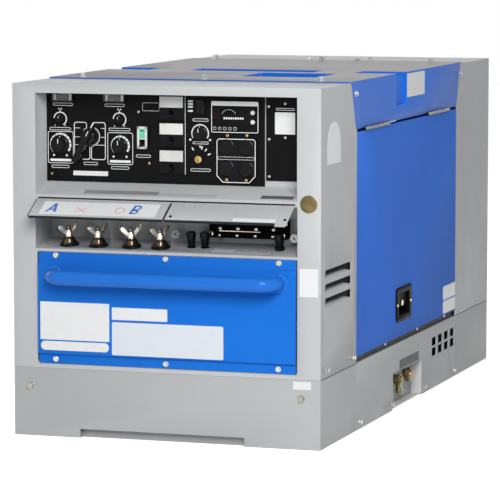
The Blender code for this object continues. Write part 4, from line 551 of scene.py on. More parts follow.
BRASS = metal("brass_plain", (0.72, 0.5, 0.2), 0.26, tarnish=0.35)
OLD_BRASS = metal("brass_drain", (0.4, 0.29, 0.16), 0.32, tarnish=0.45)
OLIVE = metal("olive_fitting", (0.3, 0.27, 0.13), 0.38, tarnish=0.4)
GOLD = metal("gold_badge", (0.2, 0.155, 0.07), 0.28, tarnish=0.3)
BASE_GLOSS = metal("base_gloss", (0.115, 0.088, 0.06), 0.14, 0.03)
MUFFLER_SKIN = metal("muffler_steel", (0.4, 0.37, 0.34), 0.5, 0.3, 0.5)
CLEAR = clear("clear_window")
IRON = paint("engine_enamel", (0.045, 0.06, 0.075), 0.5, 0.05, 0.4, 0.25)
WINDINGS = wound("generator_shell", (0.16, 0.17, 0.18), "Y", 0.012)
FINS = wound("radiator_core", (0.035, 0.035, 0.037), "X", 0.004)


# ---- case ----

def repaint_nodes():
    """Give the CAD nodes that stay as they are a procedural material."""
    # The base pan's darker grey is painted shade.
    for material, nodes in ((GREY_PAINTED_SHADE, ["base_pan"]), (DARK_PAINT, ["lifting_frame"]),
                            # The hinge rails' darker blue is painted shade.
                            (BLUE_RAIL_SHADED, ["hinge_rail_right", "hinge_rail_left"]),
                            (PANEL_BLACK, ["control_panel", "side_panel"]),
                            (BODY_BLACK_AND_SLOT_SHADE, ["breaker_bank", "outlet_block", "cooling_fan"]),
                            (BLACK_AND_PAINTED_SHADE, ["terminal_block"]), (IRON, ["engine"]),
                            (WINDINGS, ["generator"]), (FINS, ["radiator"]),
                            (MUFFLER_SKIN, ["muffler"]), (TANK_SKIN, ["fuel_tank", "battery"])):
        for node in nodes:
            for material_slot in frame["nodes"][node].material_slots:
                material_slot.material = material


def make_shells():
    """Rounded-edge shells over the sheet-metal nodes."""
    for node, material, width in (
            ("front_housing", GREY_PAINT, 1.1), ("rear_housing", GREY_PAINT, 1.1),
            ("bonnet", BLUE_BONNET, 0.9), ("base_front_skirt", GREY_BASE, 1),
            ("base_rear_skirt", GREY_BASE, 1), ("base_side_cover_right", GREY_BASE, 0.9),
            ("base_side_cover_left", GREY_BASE, 0.9), ("front_cover", BLUE_FRONT_SHADED, 1.1)):
        shell = skin(node, material, width)
        if node == "bonnet":
            # Painted shade: the bonnet's faces that look to the front or back take the darker
            # blue.
            shell.data.materials.append(BLUE_FRONT_SHADED)
            for face in shell.data.polygons:
                face.material_index = int(abs(face.normal.y) > 0.9)
    for side in ("right", "left"):
        skin("side_door_" + side, BLUE_PAINT, 1.1)
        skin("latch_housing_" + side, LATCH_BLACK, 0.7)
        skin("latch_paddle_" + side, LATCH_BLACK, 0.8)
        skin("terminal_flap_" + side, GREY_FLAP, 0.5)
    # The terminal bay's darker grey is painted shade.
    skin("terminal_bay", GREY_PAINTED_SHADE, 0.6)


def bolts(name, face, places, across=10, washer=7.2, tall=5.6, material=STEEL):
    """Flanged hexagon bolt heads, each turned further than the one before."""
    heads = Piece(name, face)
    radius = across / 2 / cos(radians(30))
    for index, (a, b) in enumerate(places):
        turn = 0.2 + 0.7 * index
        heads.lathe(a, b, [(washer, 0), (washer, 1), (washer - 0.6, 1.5), (0, 1.6)], 20)
        heads.slab(circle(a, b, radius, HEXAGON, turn), (1.3, tall - 0.6))
        heads.slab(circle(a, b, radius * 0.86, HEXAGON, turn), (tall - 0.7, tall))
        heads.lathe(a, b, [(radius * 0.62, tall - 0.1), (radius * 0.55, tall + 0.3),
                           (0, tall + 0.3)], 16)
    heads.build(material, smooth=30)


def screws(name, face, places, material, radius=3.2, base=0):
    """Pan-head screws and the painted shade of their driver slots, as two pieces."""
    heads = Piece(name, face)
    # The driver slots are black bars of painted shade.
    slots = Piece(name + "_slots", face)
    for index, (a, b) in enumerate(places):
        heads.screw(a, b, radius, base)
        for quarter in (0, pi / 2):
            angle = 0.5 + 1.1 * index + quarter
            slots.bar(polar(a, b, -radius * 0.52, angle), polar(a, b, radius * 0.52, angle),
                      radius * 0.22, (base + 1.2, base + 2.06))
    heads.build(material, smooth=40)
    slots.build(BODY_BLACK_AND_SLOT_SHADE)


def make_fasteners():
    """Bolts of the case."""
    skirt = [(-435, 16), (-170, 16), (114, 16), (397, 16)]
    bolts("front_base_bolts", FRONT, [(-312, 109.6), (307, 109.2)], 12, 8.2, material=DULL_BOLT)
    bolts("cover_bolts", FRONT, [(-251, 398), (2, 398), (257, 398), (-252, 171), (2, 171),
                                 (256, 171)], 9, 6.4)
    bolts("side_case_bolts", RIGHT, [(-477, 745), (432, 744), (-691, 167), (-488, 166)])
    bolts("left_case_bolts", LEFT, [(477, 745), (-432, 744), (691, 167), (488, 166)])
    bolts("right_skirt_bolts", RIGHT, skirt, 9, 6.2)
    bolts("left_skirt_bolts", LEFT, [(-y, z) for y, z in skirt], 9, 6.2)
    bolts("roof_lip_bolts", ROOF, [(-270, -512), (14, -512), (282, -512)], 12, 7.6, 10)
    bolts("roof_rear_bolts", HOUSING_ROOF, [(-286, 445), (-6, 445), (276, 445)], 13, 8.6, 12.5)
    bolts("roof_small_bolts", HOUSING_ROOF, [(-39, 452), (84, 452), (98, 520), (-22, 520)], 10, 7,
          9)
    bolts("back_bolts", BACK, [(-325, 170), (325, 170), (-325, 700), (325, 700)])


def make_door_trim():
    """Seals, rivets, latch details, painted shade behind the louvres and hinge barrels of the side
    doors.
    """
    shade = [(-693, 5), (-688, 5), (-686, 12.5), (-541, 12.5), (-507, 2.5), (-490, 1),
             (-490, 23.5), (-693, 23.5)]
    for side, mirror in (("right", 1), ("left", -1)):
        face = side_face(mirror)
        door, paddle = "door_" + side, "paddle_" + side
        low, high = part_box("side_door_" + side)
        Piece("door_sill_seal_" + side, face).box(
            (low.y / MM + 4, high.y / MM - 4), (151.5, 164.5), (-20, -6)).build(RUBBER_AND_PAINTED_SHADE, bevel=2)
        sill = Piece("door_sill_screws_" + side, face)
        for y in (-210, 69, 322):
            sill.screw(y, 160, 4.4, -6)
        sill.build(STEEL, smooth=40)
        rivets = Piece("latch_rivets_" + side, face)
        for y in (-133, -19):
            rivets.lathe(y, 239, [(4, 2.4), (4, 3), (3.2, 4), (1.6, 4.6), (0, 4.7)], 16)
        rivets.build(BRASS, door, smooth=40)
        ribs = Piece("paddle_ribs_" + side, face)
        for foot in (241.5, 236.5):
            ribs.box((-108, -44), (foot, foot + 1.5), (-3.1, -2.4))
        ribs.build(LATCH_BLACK, paddle, bevel=0.3)
        Piece("paddle_lock_" + side, face).lathe(
            -76, 239.5, [(6.8, -3.1), (6.8, -1.9), (6, -1.4), (2.4, -1.3), (0, -1.9)]).build(
                CHROME, paddle, smooth=30)
        # Painted shade: a black sheet behind the louvre slots and black wedges just inside them,
        # where the openings are dark.
        louvre_shade = Piece("louvre_painted_shade_" + side, face).box((-703, -507), (298, 384), (-18, -17))
        for foot in (300, 330, 360):
            louvre_shade.slab([(y, foot + z) for y, z in shade], (-4.6, -4))
        louvre_shade.build(BLACK_AND_PAINTED_SHADE)
        axis = Face((mirror * (HALF_W + 0.002), 0, HINGE_Z), Z, X)
        barrels = Piece("door_hinge_barrels_" + side, axis)
        for first in (-407, 131):
            for knuckle in range(8):
                start = first + 24.4 * knuckle
                barrels.lathe(0, 0, [(2.2, start), (4.2, start + 0.8), (4.2, start + 19.2),
                                     (2.2, start + 20), (2.2, start + 24.4)], 16)
        barrels.build(HINGE_STEEL, smooth=40)


def make_handle():
    """The service cover's round bar, with bent ends and foot flanges."""
    low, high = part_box("front_handle")
    radius = (high.z - low.z) / 2
    z = (low.z + high.z) / 2
    bend = 0.034
    ends = ((-1, low.x + radius), (1, high.x - radius))
    points = []
    for side, x in ends:
        arc = [(x, high.y, z)]
        for a, b in arc_points(0, 0, bend, 0, 90):
            arc.append((x - side * bend + side * a, low.y + radius + bend - b, z))
        points += arc[::-side]
    Piece("front_handle_bar", FRONT).tube(points, radius, 8).build(
        BLUE_HANDLE_SHADED, node="front_handle", smooth=40)
    feet = Piece("front_handle_feet", FRONT)
    wide = radius / MM
    for side, x in ends:
        feet.lathe(x / MM, z / MM, [(wide + 3.5, 7), (wide + 3.5, 8.2), (wide + 1, 10), (0, 10)],
                   32)
    feet.build(BLUE_HANDLE_SHADED, smooth=35)


def sticker(name, face, a, b, radius=1.5, steps=2, material=WHITE_STICKER, low=0, thick=0.35,
            body="case"):
    """A thin bare plate or sticker with rounded corners."""
    Piece(name, face).slab(rounded(a, b, radius, steps), (low + SUNK, low + thick)).build(
        material, body)


def make_stickers():
    """Bare stickers and plates, at their size and place, painted shade in the gaps beside the
    cover, and the sheets' dark seams.
    """
    crown = 7    # the cover's height over the housing's front
    sticker("cover_label_left", FRONT, (-285, -125), (214, 297), low=crown)
    sticker("cover_label_middle", FRONT, (-119, 8), (263, 290), low=crown)
    sticker("cover_label_right", FRONT, (-119, 135), (186, 258), 3, 3, PALE_STICKER, crown)
    sticker("cover_label_pill", FRONT, (-284, -126), (191, 211), 9.5, 6, low=crown)
    Piece("front_badge", FRONT).lathe(
        323, 525, [(19, -0.1), (19, 0.8), (17.6, 1.3), (0, 1.3)], 40).build(GOLD, smooth=30)
    sticker("front_label_right", FRONT, (303, 344), (328, 388))
    sticker("base_label_corner", FRONT, (289, 329), (129.5, 146.5), 1)
    # Painted shade: dark strips in the gaps between the service cover and the housing.
    seams = Piece("cover_gap_shade", FRONT)
    for span in ((-293.6, -291.2), (295.8, 298)):
        seams.box(span, (165, 405), (SUNK, 0.4))
    seams.build(RUBBER_AND_PAINTED_SHADE)
    seams = Piece("base_gap_lines", RIGHT)
    housing_end, rear_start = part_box("front_housing")[1].y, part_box("rear_housing")[0].y
    for mirror in (1, -1):
        seams.on(side_face(mirror))
        for low, high in ((FRONT_Y / MM + 1.5, housing_end / MM - 1),
                          (rear_start / MM + 1, REAR_Y / MM - 1.5)):
            seams.box((low, high), (149.6, 150.8), (SUNK, 0.25))
    seams.build(RUBBER_AND_PAINTED_SHADE)
    sticker("bonnet_label", RIGHT, (-52, 103), (714, 768.5))
    for index, tall in enumerate(((202, 235), (168.5, 199))):
        sticker(f"door_label_{index + 1}", RIGHT, (287, 405), tall, 6, 4, body="door_right")
    arch = [(-689, 605), (-590, 605), (-590, 640), *arc_points(-639.5, 645.5, 49.5, 0, 180, 20),
            (-689, 640)]
    Piece("column_label", RIGHT).slab(arch, (SUNK, 0.35)).build(WHITE_STICKER)
    sticker("drain_label", RIGHT, (-105, 64), (87.4, 109), 3, 3, DRAIN_STICKER)


# ---- control panel ----

def pill(ink, a, b, length, height=6.4):
    """A printed name field: its outline only."""
    ink.outline_band(rounded((a - length / 2, a + length / 2), (b - height / 2, b + height / 2),
                             height / 2 - 0.1, 5), 1.1)


def dial_scale(ink, a, b, radius, band=4.4, start=188, end=-38, ticks=10):
    """A white scale band that narrows towards its start, with gaps for the ticks."""
    share = (start - end) / ticks
    gap = 1.6
    for i in range(ticks):
        half = band * min(1, 0.3 + 0.16 * i) / 2
        ink.arc_band(a, b, (radius - half, radius + half),
                     (start - share * (i + 1) + gap, start - share * i - gap), steps=6)


def make_panel_print():
    """The print and the bare strips of the recess."""
    ink = Piece("panel_print")
    for a, b, radius, left, right in ((-265, 634, 23.5, -294, -234), (-126, 634, 20.5, -155, -96)):
        ink.outline_band(rounded((left, right), (593, 663), 4.5), 1.3)
        dial_scale(ink, a, b, radius)
        ink.polyline(arc_points(a, b, radius, 226, 192, 6), 0.8)
        for side in (-1, 1):
            ink.slab(circle(a + side * 15, b - 23.5, 2.4, 12))
        ink.slab(rounded((left + 5, right - 5), (597.4, 602.8), 2.6))
    for a, b in ((-265, 690), (-127, 691)):
        ink.polyline(arc_points(a, b, 14.6, 170, -55, 20), 2.4)
        ink.bar((a, b + 14), (a, b + 21), 1.6)
        for side in (-1, 1):
            ink.slab(circle(a + side * 3, b + 22, 1.7, 10))
            ink.slab(circle(a + side * 11.5, b - 14.2, 1.3, 8))
    for field in ((-265, 586, 42), (-126, 586, 42), (-265, 668.5, 50), (-127, 669.5, 50),
                  (-258.5, 722, 46), (-138, 722, 46), (-194, 594, 33), (-72, 613, 34),
                  (59, 694, 36), (59, 644.6, 36, 5.6), (59, 586, 46), (250, 720.5, 42, 5)):
        pill(ink, *field)
    hub = (-194, 653, 21)
    for points, width in (
            ([(-232, 606), (-232, 680), (-229, 683.5), (-207, 683.5), (-203.5, 680),
              (-203.5, 672.5)] + arc_points(*hub, 118, 196, 8), 1.7),
            ([(-212, 603), (-199, 603), (-196, 606), (-196, 630)], 1.7),
            ([(-189.5, 632), (-192.5, 628), (-192.5, 606), (-189.5, 603), (-163, 603),
              (-160, 606), (-160, 680), (-163, 683.5), (-186, 683.5), (-190, 680)], 1.7),
            ([(-188, 682), (-199.5, 662)], 3.2),
            (arc_points(*hub, 62, -72, 14), 1.7)):
        ink.polyline(points, width)
    for z, left in ((671, -170), (651.5, -170), (634.5, -188)):
        ink.polyline([(-232, z), (-219, z)], 1.2)
        ink.polyline([(left, z), (-160, z)], 1.2)
    ink.box((23.3, 24.6), (576, 746))
    ink.outline_band(rounded((-74, -35), (711, 729), 2, 2), 0.7)
    ink.arc_band(58, 665, (17.6, 20.2), (-32, 212), steps=36)
    for a in (35.5, 80.5):
        ink.box((a - 2.2, a + 2.2), (649.2, 653.2))
    ink.slab([(58, 633.4), (61, 638.4), (55, 638.4)])
    for z in (734, 728, 722, 713):
        ink.slab(rounded((30, 42), (z - 2, z + 2), 1.9, 3))
    for angle in (122, 74, 52, 26):
        lean = radians(angle)
        ink.bar(polar(55, 609, 22.5, lean), polar(55, 609, 29.5, lean), 2.6)
    ink.outline_band(rounded((99, 183), (610.3, 616.7), 3.1, 5), 0.7, (4.9, 5.15))
    ink.build(WHITE_INK)
    sticker("panel_strip", PANEL, (-235, -154), (567.5, 577.5), 0.8, thick=0.25)
    sticker("side_panel_label", PANEL, (227, 272), (667, 714), 1, thick=0.3)
    # bare strips on the recess's sloping floor
    for name, a, b, tone in (("sill_strip_dark", (-190, -20), (11, 29), 0.3),
                             ("sill_strip_pale", (-17, 112), (7, 22), 0.52),
                             ("sill_strip_right", (212, 285), (10, 26), 0.13),
                             ("sill_strip_left", (-252, -195), (13, 32), 0.6)):
        sticker(name, SILL, a, b, 1, 2, film(name, (tone, tone, tone * 1.02)), thick=0.3)


def make_meters():
    """The two meters seen under the recess's upper edge: dark windows with pale marks."""
    for name, left, right in (("meter_left", -285, -232), ("meter_right", -165, -111)):
        middle = (left + right) / 2
        Piece(name + "_bezel").outline_band(
            rounded((left, right), (726.5, 765), 3, 3), 3.2, (SUNK, 7)).build(
                BODY_BLACK_AND_SLOT_SHADE, bevel=0.6)
        Piece(name + "_face").slab(
            rounded((left + 3, right - 3), (729, 763), 1.5, 2), (SUNK, 2)).build(METER_BLACK)
        marks = Piece(name + "_marks")
        for a in (middle - 18, middle + 18):
            marks.slab(rounded((a - 3, a + 3), (731, 744), 1, 2), (1.9, 2.12))
        marks.build(WHITE_INK)
        dashes = Piece(name + "_dashes")
        for offset in (-9, -4.5, 0, 4.5, 9):
            dashes.box((middle + offset - 0.6, middle + offset + 0.6), (733, 741), (1.9, 2.1))
        dashes.build(DIM_INK)
        Piece(name + "_window").slab(
            rounded((left + 2.8, right - 2.8), (729, 762.5), 1.5, 2), (5, 5.8)).build(CLEAR)


def knob(name, a, b, radius, height, flutes):
    """A moulded control knob: skirt, fluted grip, cap and white pointer."""
    grip = Piece(name + "_knob").lathe(a, b, [
        (radius, 0.3), (radius, 2.2), (radius * 0.93, 3.4), (radius * 0.8, 4),
        (radius * 0.76, height - 1.4), (radius * 0.7, height), (0, height + 0.2)], 48)
    flute = radius * 0.065
    for spot in circle(a, b, radius * 0.765, flutes):
        grip.lathe(*spot, [(flute, 3.6), (flute, height - 1.6), (0, height - 1)], 8)
    grip.build(KNOB_BLACK, name + "_body", node=name, smooth=38)
    Piece(name + "_pointer").bar(
        (a, b + radius * 0.15), (a, b + radius * 0.68), max(1, radius * 0.09),
        (height - 0.6, height + 0.35)).bar(
            (a, b + radius * 0.82), (a, b + radius * 0.97), max(1, radius * 0.1),
            (1, 3.9)).build(WHITE_INK, name + "_body")


def make_dials():
    """The five turning knobs and the selector."""
    knob("fine_dial_left", -265, 690, 8.8, 12.6, 16)
    knob("fine_dial_right", -127, 691, 8.8, 12.6, 16)
    knob("output_dial_left", -265, 634, 19, 15.6, 28)
    knob("output_dial_right", -126, 634, 17, 15.6, 28)
    knob("throttle_dial", 58, 665, 16.5, 14.6, 24)
    a, b, lean = -194, 653, radians(-117.5)
    half = [(-19, 2.5), (-17.5, 5.2), (-14, 6.6), (0, 7.4), (30, 6.8), (56, 6.6), (60.2, 4.6),
            (61.8, 1.6)]
    outline = [polar(*polar(a, b, along, lean), across, lean + pi / 2)
               for along, across in [(s, -t) for s, t in half] + half[::-1]]
    Piece("selector_handle").lathe(
        a, b, [(19, 0.3), (19, 8), (18.2, 14), (16.6, 19), (12, 21.5), (0, 22.2)], 48).slab(
            outline, (16, 33.5)).build(KNOB_BLACK, "selector", node="selector_lever", bevel=1.6,
                                       segments=3)
    Piece("selector_pointer").bar(
        polar(a, b, -15, lean), polar(a, b, -3, lean), 1.6, (33, 33.75)).build(
            WHITE_INK, "selector")


def make_breaker_faces():
    """White and black fronts of the breakers, and their toggles."""
    plates = Piece("breaker_plates")
    for z in (719, 661, 602.5):
        plates.box((-31.6, 21.6), (z + 0.8, z + 24.6), (7.6, 9.4))
    plates.build(WHITE_BODY, bevel=0.5)
    Piece("small_breaker_frame").outline_band(
        rounded((-83.6, -60.4), (629.4, 677.6), 1.2, 3), 5.2, (7.6, 8.4)).box(
            (-79.5, -64.5), (649.6, 652.4), (7.6, 8.4)).build(WHITE_BODY, bevel=0.3)
    Piece("small_breaker_window").box(
        (-78.6, -65.4), (652, 672.6), (7.6, 8.2)).build(GREEN_WINDOW, bevel=0.2)
    Piece("small_breaker_mark").box(
        (-76.5, -67.5), (667.5, 669.5), (8.1, 8.4)).build(BODY_BLACK_AND_SLOT_SHADE)
    for index in range(1, 5):
        skin(f"breaker_toggle_{index}", KNOB_BLACK, 0.6)
    skin("rocker_switch", KNOB_BLACK, 0.7)
    Piece("rocker_bezel").outline_band(
        rounded((47.2, 70.8), (701.2, 742.8), 1.6, 2), 2.4, (SUNK, 2.2)).build(
            BODY_BLACK_AND_SLOT_SHADE, bevel=0.4)


def make_monitor_face():
    """Display strip, lamps, scale and buttons of the engine monitor."""
    skin("monitor_unit", PANEL_BLACK, 0.8)
    ink = Piece("monitor_print")
    ink.outline_band(rounded((85.4, 191.6), (668.4, 735.6), 3, 3), 1.5, (5.9, 6.15))
    ink.box((86, 191), (726, 735), (5.9, 6.1))
    for i in range(9):
        ink.box((113 + 5.2 * i, 116.6 + 5.2 * i), (697.2, 701.4), (5.9, 6.12))
    for x in (93, 104.5, 116, 127.5, 139):
        ink.outline_band(rounded((x - 3.2, x + 3.2), (674, 680.4), 1.2, 2), 0.7, (5.9, 6.12))
    ink.polyline(arc_points(125, 700, 18, 150, 30, 8), 0.6, (5.9, 6.1))
    ink.build(WHITE_INK)
    lamps = Piece("monitor_lamps")
    for x in (93, 100):
        for z in (717, 709, 701):
            lamps.lathe(x, z, [(1.1, 5.9), (1, 6.4), (0, 6.6)], 12)
    lamps.build(RED_LAMP, smooth=40)
    heights = (712, 692)
    rings = Piece("monitor_button_rings")
    for z in heights:
        rings.arc_band(179, z, (5.9, 7.6), (0, 360), (5.9, 7))
    rings.build(BODY_BLACK_AND_SLOT_SHADE, smooth=40)
    for index, z in enumerate(heights, 1):
        Piece(f"monitor_push_{index}").lathe(
            179, z, [(4.9, 4.2), (4.9, 7.4), (4.4, 7.9), (0, 8)], 28).build(
                WHITE_BODY, f"button_{index}", node=f"monitor_button_{index}", smooth=35)


def make_outlet_faces():
    """Socket faces with black marks of painted shade for their slots, the white outline and brass
    screws.
    """
    chamfer = [(97, 575), (111, 560.8), (171, 560.8), (185, 575), (185, 651), (180, 655.5),
               (102, 655.5), (97, 651)]
    Piece("outlet_outline").outline_band(chamfer, 1.8, (4.6, 5.25)).build(WHITE_INK)
    sockets = Piece("outlet_sockets")
    slots = Piece("outlet_slots")
    for x in (118.5, 162):
        for z in (590.5, 636.5):
            sockets.lathe(x, z, [(18, 2.8), (18, 5.2), (16.8, 5.8), (15.4, 4.2), (0, 4.2)], 40)
            # The socket openings are black arcs and dots of painted shade.
            for angle in (90, 210, 330):
                slots.arc_band(x, z, (8.6, 11), (angle - 17, angle + 17), (4, 4.28), 8)
            slots.lathe(x, z, [(1.8, 4), (1.8, 4.3), (0, 4.3)], 12)
    sockets.build(KNOB_BLACK, smooth=35)
    slots.build(SLOT_SHADE_BLACK)
    screws("outlet_screws", PANEL, [(120, 662), (164, 663)], BRASS, 3.4, 0.1)
    screws("outlet_low_screws", PANEL, [(120, 567), (164, 567)], BRASS, 3.4, 5)


def make_key_and_screws():
    """The key switch, with dark barrel, bright nose and a keyhole of painted shade, and the
    panels' screws.
    """
    key = (55, 609)
    Piece("key_barrel").lathe(
        *key, [(8.3, 0.3), (8.3, 3.4), (7.4, 4.6), (5, 4.8), (0, 4.8)], 32).build(
            KNOB_BLACK, "key", node="key_switch", smooth=35)
    Piece("key_nose").lathe(
        *key, [(8, 4), (8, 6.2), (7, 7), (5.2, 7), (4.6, 5.6), (0, 5.6)], 32).lathe(
            *key, [(3.6, 5.4), (3.4, 6.6), (2.8, 7.1), (0, 7.1)]).build(BRASS, "key", smooth=35)
    # The keyhole is a black bar of painted shade.
    Piece("key_slot").box((54.2, 55.8), (605.8, 612.2), (6.6, 7.15)).build(
        BODY_BLACK_AND_SLOT_SHADE, "key")
    screws("panel_screws", PANEL, [(-83, 709), (-58, 598), (-285, 570)], BRASS, 3)
    screws("panel_low_screws", PANEL, [(192, 562), (-18, 564)], BODY_BLACK_AND_SLOT_SHADE, 2.4)
    screws("side_panel_screws", PANEL, [(250, 733), (250, 660), (213, 726), (214, 656),
                                        (214, 576)], STEEL, 3)


# ---- terminal bay and flaps ----

TERMINAL_BACK = 35
TERMINALS = ((-233, 50), (-165, 52), (-88.5, 44), (-22, 54))    # place and turn of the nuts
BASE_TOP = 19.3
WING = [(3.5, 3), (7, 2.8), (12, 7.6), (18, 13.6), (23.6, 19.6), (25.2, 23.4), (24.8, 27),
        (22.2, 29), (18.6, 28.8), (15.6, 26.2), (11.6, 20.6), (8, 15.4), (3.5, 13)]
CAP_BACK = 50
SCREW_CAPS = (43.5, 74.5, 243)
BAY_DISCS = ((-2, 444.2), (267.5, 443.4))


def make_wing_nuts():
    """Plated wing nuts on glossy moulded bases."""
    bases = Piece("terminal_bases", BAY_FLOOR)
    rims = Piece("terminal_rims", BAY_FLOOR)
    studs = Piece("terminal_studs", BAY_FLOOR)
    for index, (x, turn) in enumerate(TERMINALS, 1):
        rims.lathe(x, TERMINAL_BACK, [(21, 0.3), (21, 3.2), (20.2, 4.3), (18.2, 5.2), (0, 5.3)],
                   40)
        bases.lathe(x, TERMINAL_BACK, [
            (20.5, 0.3), (20.5, 3.4), (19.9, 4), (18.6, 4.2), (16.4, 7.4), (14.2, 11.4),
            (12.4, 15.2), (11, 18), (10.2, 18.9), (0, 19)], 40)
        studs.lathe(x, TERMINAL_BACK, [(5, 18), (5, 42), (4.2, 43.3), (0, 43.4)], 20)
        nut = Piece(f"wing_nut_{index}_skin", BAY_FLOOR).lathe(x, TERMINAL_BACK, [
            (9.9, BASE_TOP), (9.9, 21), (9.2, 21.5), (7.8, 21.7), (7.9, 24), (7.4, 29),
            (6.5, 34.4), (5.8, 35.2), (0, 35.3)], 32)
        nut.on(BAY_FLOOR.stood(x, TERMINAL_BACK, radians(turn)))
        for side in (-1, 1):
            nut.slab([(side * a, b + BASE_TOP) for a, b in WING][::side], (-2.6, 2.6))
        nut.build(CHROME, f"nut_{index}", node=f"wing_nut_{index}", bevel=1.5, segments=3)
    bases.build(BASE_GLOSS, node="terminal_board", smooth=50)
    rims.build(RIM_BLACK, smooth=40)
    studs.build(STUD_STEEL, smooth=40)
    Piece("terminal_board_plate", BAY_FLOOR).box((-255, 0), (17, 53), (-7.6, -2.6)).build(
        BODY_BLACK_AND_SLOT_SHADE, bevel=0.5)


def make_terminal_fittings():
    """Screw caps, screw block, discs and dividers beside the wing nuts."""
    for index, x in enumerate(SCREW_CAPS, 1):
        cap = Piece(f"terminal_cap_{index}_skin", BAY_FLOOR).lathe(x, CAP_BACK, [
            (6.4, 0.3), (6.8, 4), (8.2, 14), (9.8, 26), (10.2, 31.6), (9.4, 34.2), (7.6, 34.9),
            (0, 35)], 32)
        for i in range(16):
            cap.on(BAY_FLOOR.stood(x, CAP_BACK, 2 * pi * i / 16)).slab(
                [(5, 4), (7.2, 4.6), (10.9, 29.6), (10.2, 32.4), (5, 32.4)], (-0.8, 0.8))
        cap.build(KNOB_BLACK, f"cap_{index}", node=f"terminal_cap_{index}", smooth=30)
    washers = Piece("terminal_washers", BAY_FLOOR)
    for x in SCREW_CAPS:
        washers.arc_band(x, CAP_BACK, (7.4, 10.4), (0, 360), (0.1, 1.4), 28)
    washers.arc_band(SCREW_CAPS[2], CAP_BACK, (8, 11.4), (0, 360), (1.3, 7), HEXAGON)
    washers.build(KNOB_BLACK, smooth=35)
    columns = (101, 141.5, 182.5, 222)
    screws("block_screws_upper", BLOCK_UPPER, [(x, 461) for x in columns], CHROME, 4.2, 0.6)
    screws("block_screws_lower", BLOCK_LOWER, [(x, 447) for x in columns], CHROME)
    screws("block_end_screws", BLOCK_LOWER, [(82.3, 449.6), (244.7, 448.6)], CHROME, 5.4)
    Piece("block_link", BLOCK_UPPER).bar((99, 455.4), (192, 454.8), 2, (SUNK, 1)).build(
        CHROME, bevel=0.3)
    discs = Piece("bay_discs", BAY_WALL)
    marks = Piece("bay_disc_slots", BAY_WALL)
    for x, z in BAY_DISCS:
        discs.lathe(x, z, [(4.5, -0.1), (4.5, 19), (9.6, 19), (9.6, 22), (8.8, 23), (0, 23)], 36)
        # The discs' slots are black bars of painted shade.
        marks.bar((x - 2.4, z + 3), (x + 2.6, z - 3.2), 2.4, (22.6, 23.3))
    discs.build(DISC_WHITE, smooth=35)
    marks.build(BODY_BLACK_AND_SLOT_SHADE)
    plates = Piece("bay_dividers", BAY_FLOOR)
    for x in (-128.5, 9):
        plates.box((x - 0.7, x + 0.7), (18, 93), (0.1, 56))
    plates.build(CLEAR)
    sticker("bay_floor_label", BAY_FLOOR, (98, 150), (19, 43), 1, 2, PALE_STICKER, thick=0.2)
    frames = Piece("bay_floor_frames", BAY_FLOOR)
    for span in ((158, 190), (196, 226)):
        frames.outline_band(rounded(span, (18, 40), 1, 2), 0.8)
    frames.build(WHITE_INK)


def make_flap_marks():
    """Letters and signs on the flaps that name the terminals below, and strips of painted shade on
    the flaps' edges and over their hinge.
    """
    sticker("flap_label_left", FLAP_TOP, (-269, -3.5), (-57, -10), 1.2, thick=0.3,
            body="flap_left")
    slant = Face(FLAP_TOP.at(-2, 0), FLAP_TOP.u, FLAP_TOP.v + FLAP_TOP.u * 0.18)
    ink = (0.2, 0.42)
    foot, head, left, stem = -48.5, -17.5, -244.5, -52.5
    letters = Piece("flap_letters", slant)
    letters.bar((left, foot), (left + 10.2, head), 5.6, ink)
    letters.bar((left + 9.8, head), (left + 20, foot), 5.6, ink)
    letters.bar((left + 4, foot + 9.5), (left + 16, foot + 9.5), 5, ink)
    letters.bar((stem, foot + 1), (stem, head + 1.5), 5.6, ink)
    for low, high, bulge in ((foot + 1, foot + 16, 11.5), (foot + 14, head + 1.5, 10.5)):
        reach = (high - low) / 2
        for z in (low + 2, high - 2):
            letters.bar((stem, z), (stem + bulge - 3, z), 4.6, ink)
        letters.arc_band(stem + bulge - 3, low + reach, (reach - 4.6, reach), (-90, 90), ink, 12)
    letters.build(BLUE_MARK, "flap_left")
    signs = Piece("flap_signs", FLAP_TOP)
    for side in (-1, 1):
        signs.bar((-189.5, -38.5 - side * 8.5), (-165.5, -38.5 + side * 8.5), 1.5, ink)
    signs.arc_band(-88.5, -36.5, (9.4, 11), (0, 360), ink, 32).build(RED_MARK, "flap_left")
    sticker("flap_label_right", FLAP_TOP, (171, 266), (-62, -50.5), 1, thick=0.3,
            body="flap_right")
    bumpers = Piece("flap_bumpers", FLAP_TOP)
    for x in (31, 286):
        bumpers.lathe(x, -52, [(3.4, -0.1), (3.4, 1.4), (2.2, 2.2), (0, 2.3)], 20)
    bumpers.build(RUBBER_AND_PAINTED_SHADE, "flap_right", smooth=40)
    Piece("flap_tab", FLAP_TOP).box((268, 292), (-75, -60), (-1.6, -0.05)).build(
        GREY_FLAP, "flap_right", bevel=0.4)
    # Painted shade: dark strips on the flaps' down-facing lips and the left flap's sides, and over
    # the hinge gap.
    for side, span in (("left", (-291, 15)), ("right", (20, 266))):
        Piece(f"flap_{side}_edge", FLAP_TOP.stood(0, -63, 0)).box(
            span, (-7.1, -0.7), (SUNK, 0.9)).build(RUBBER_AND_PAINTED_SHADE, f"flap_{side}", bevel=0.2)
    Piece("flap_left_side_shade", FLAP_TOP).box((15.1, 18.9), (-61, -1), (-5, -1.9)).box(
        (-293.4, -291.1), (-62, -1), (-5, -0.8)).build(RUBBER_AND_PAINTED_SHADE, "flap_left", bevel=0.2)
    Piece("flap_hinge_gap_shade", FRONT).box((-291, 293), (521, 524.5), (SUNK, 0.5)).build(RUBBER_AND_PAINTED_SHADE)


# ---- base recess, roof and machinery ----

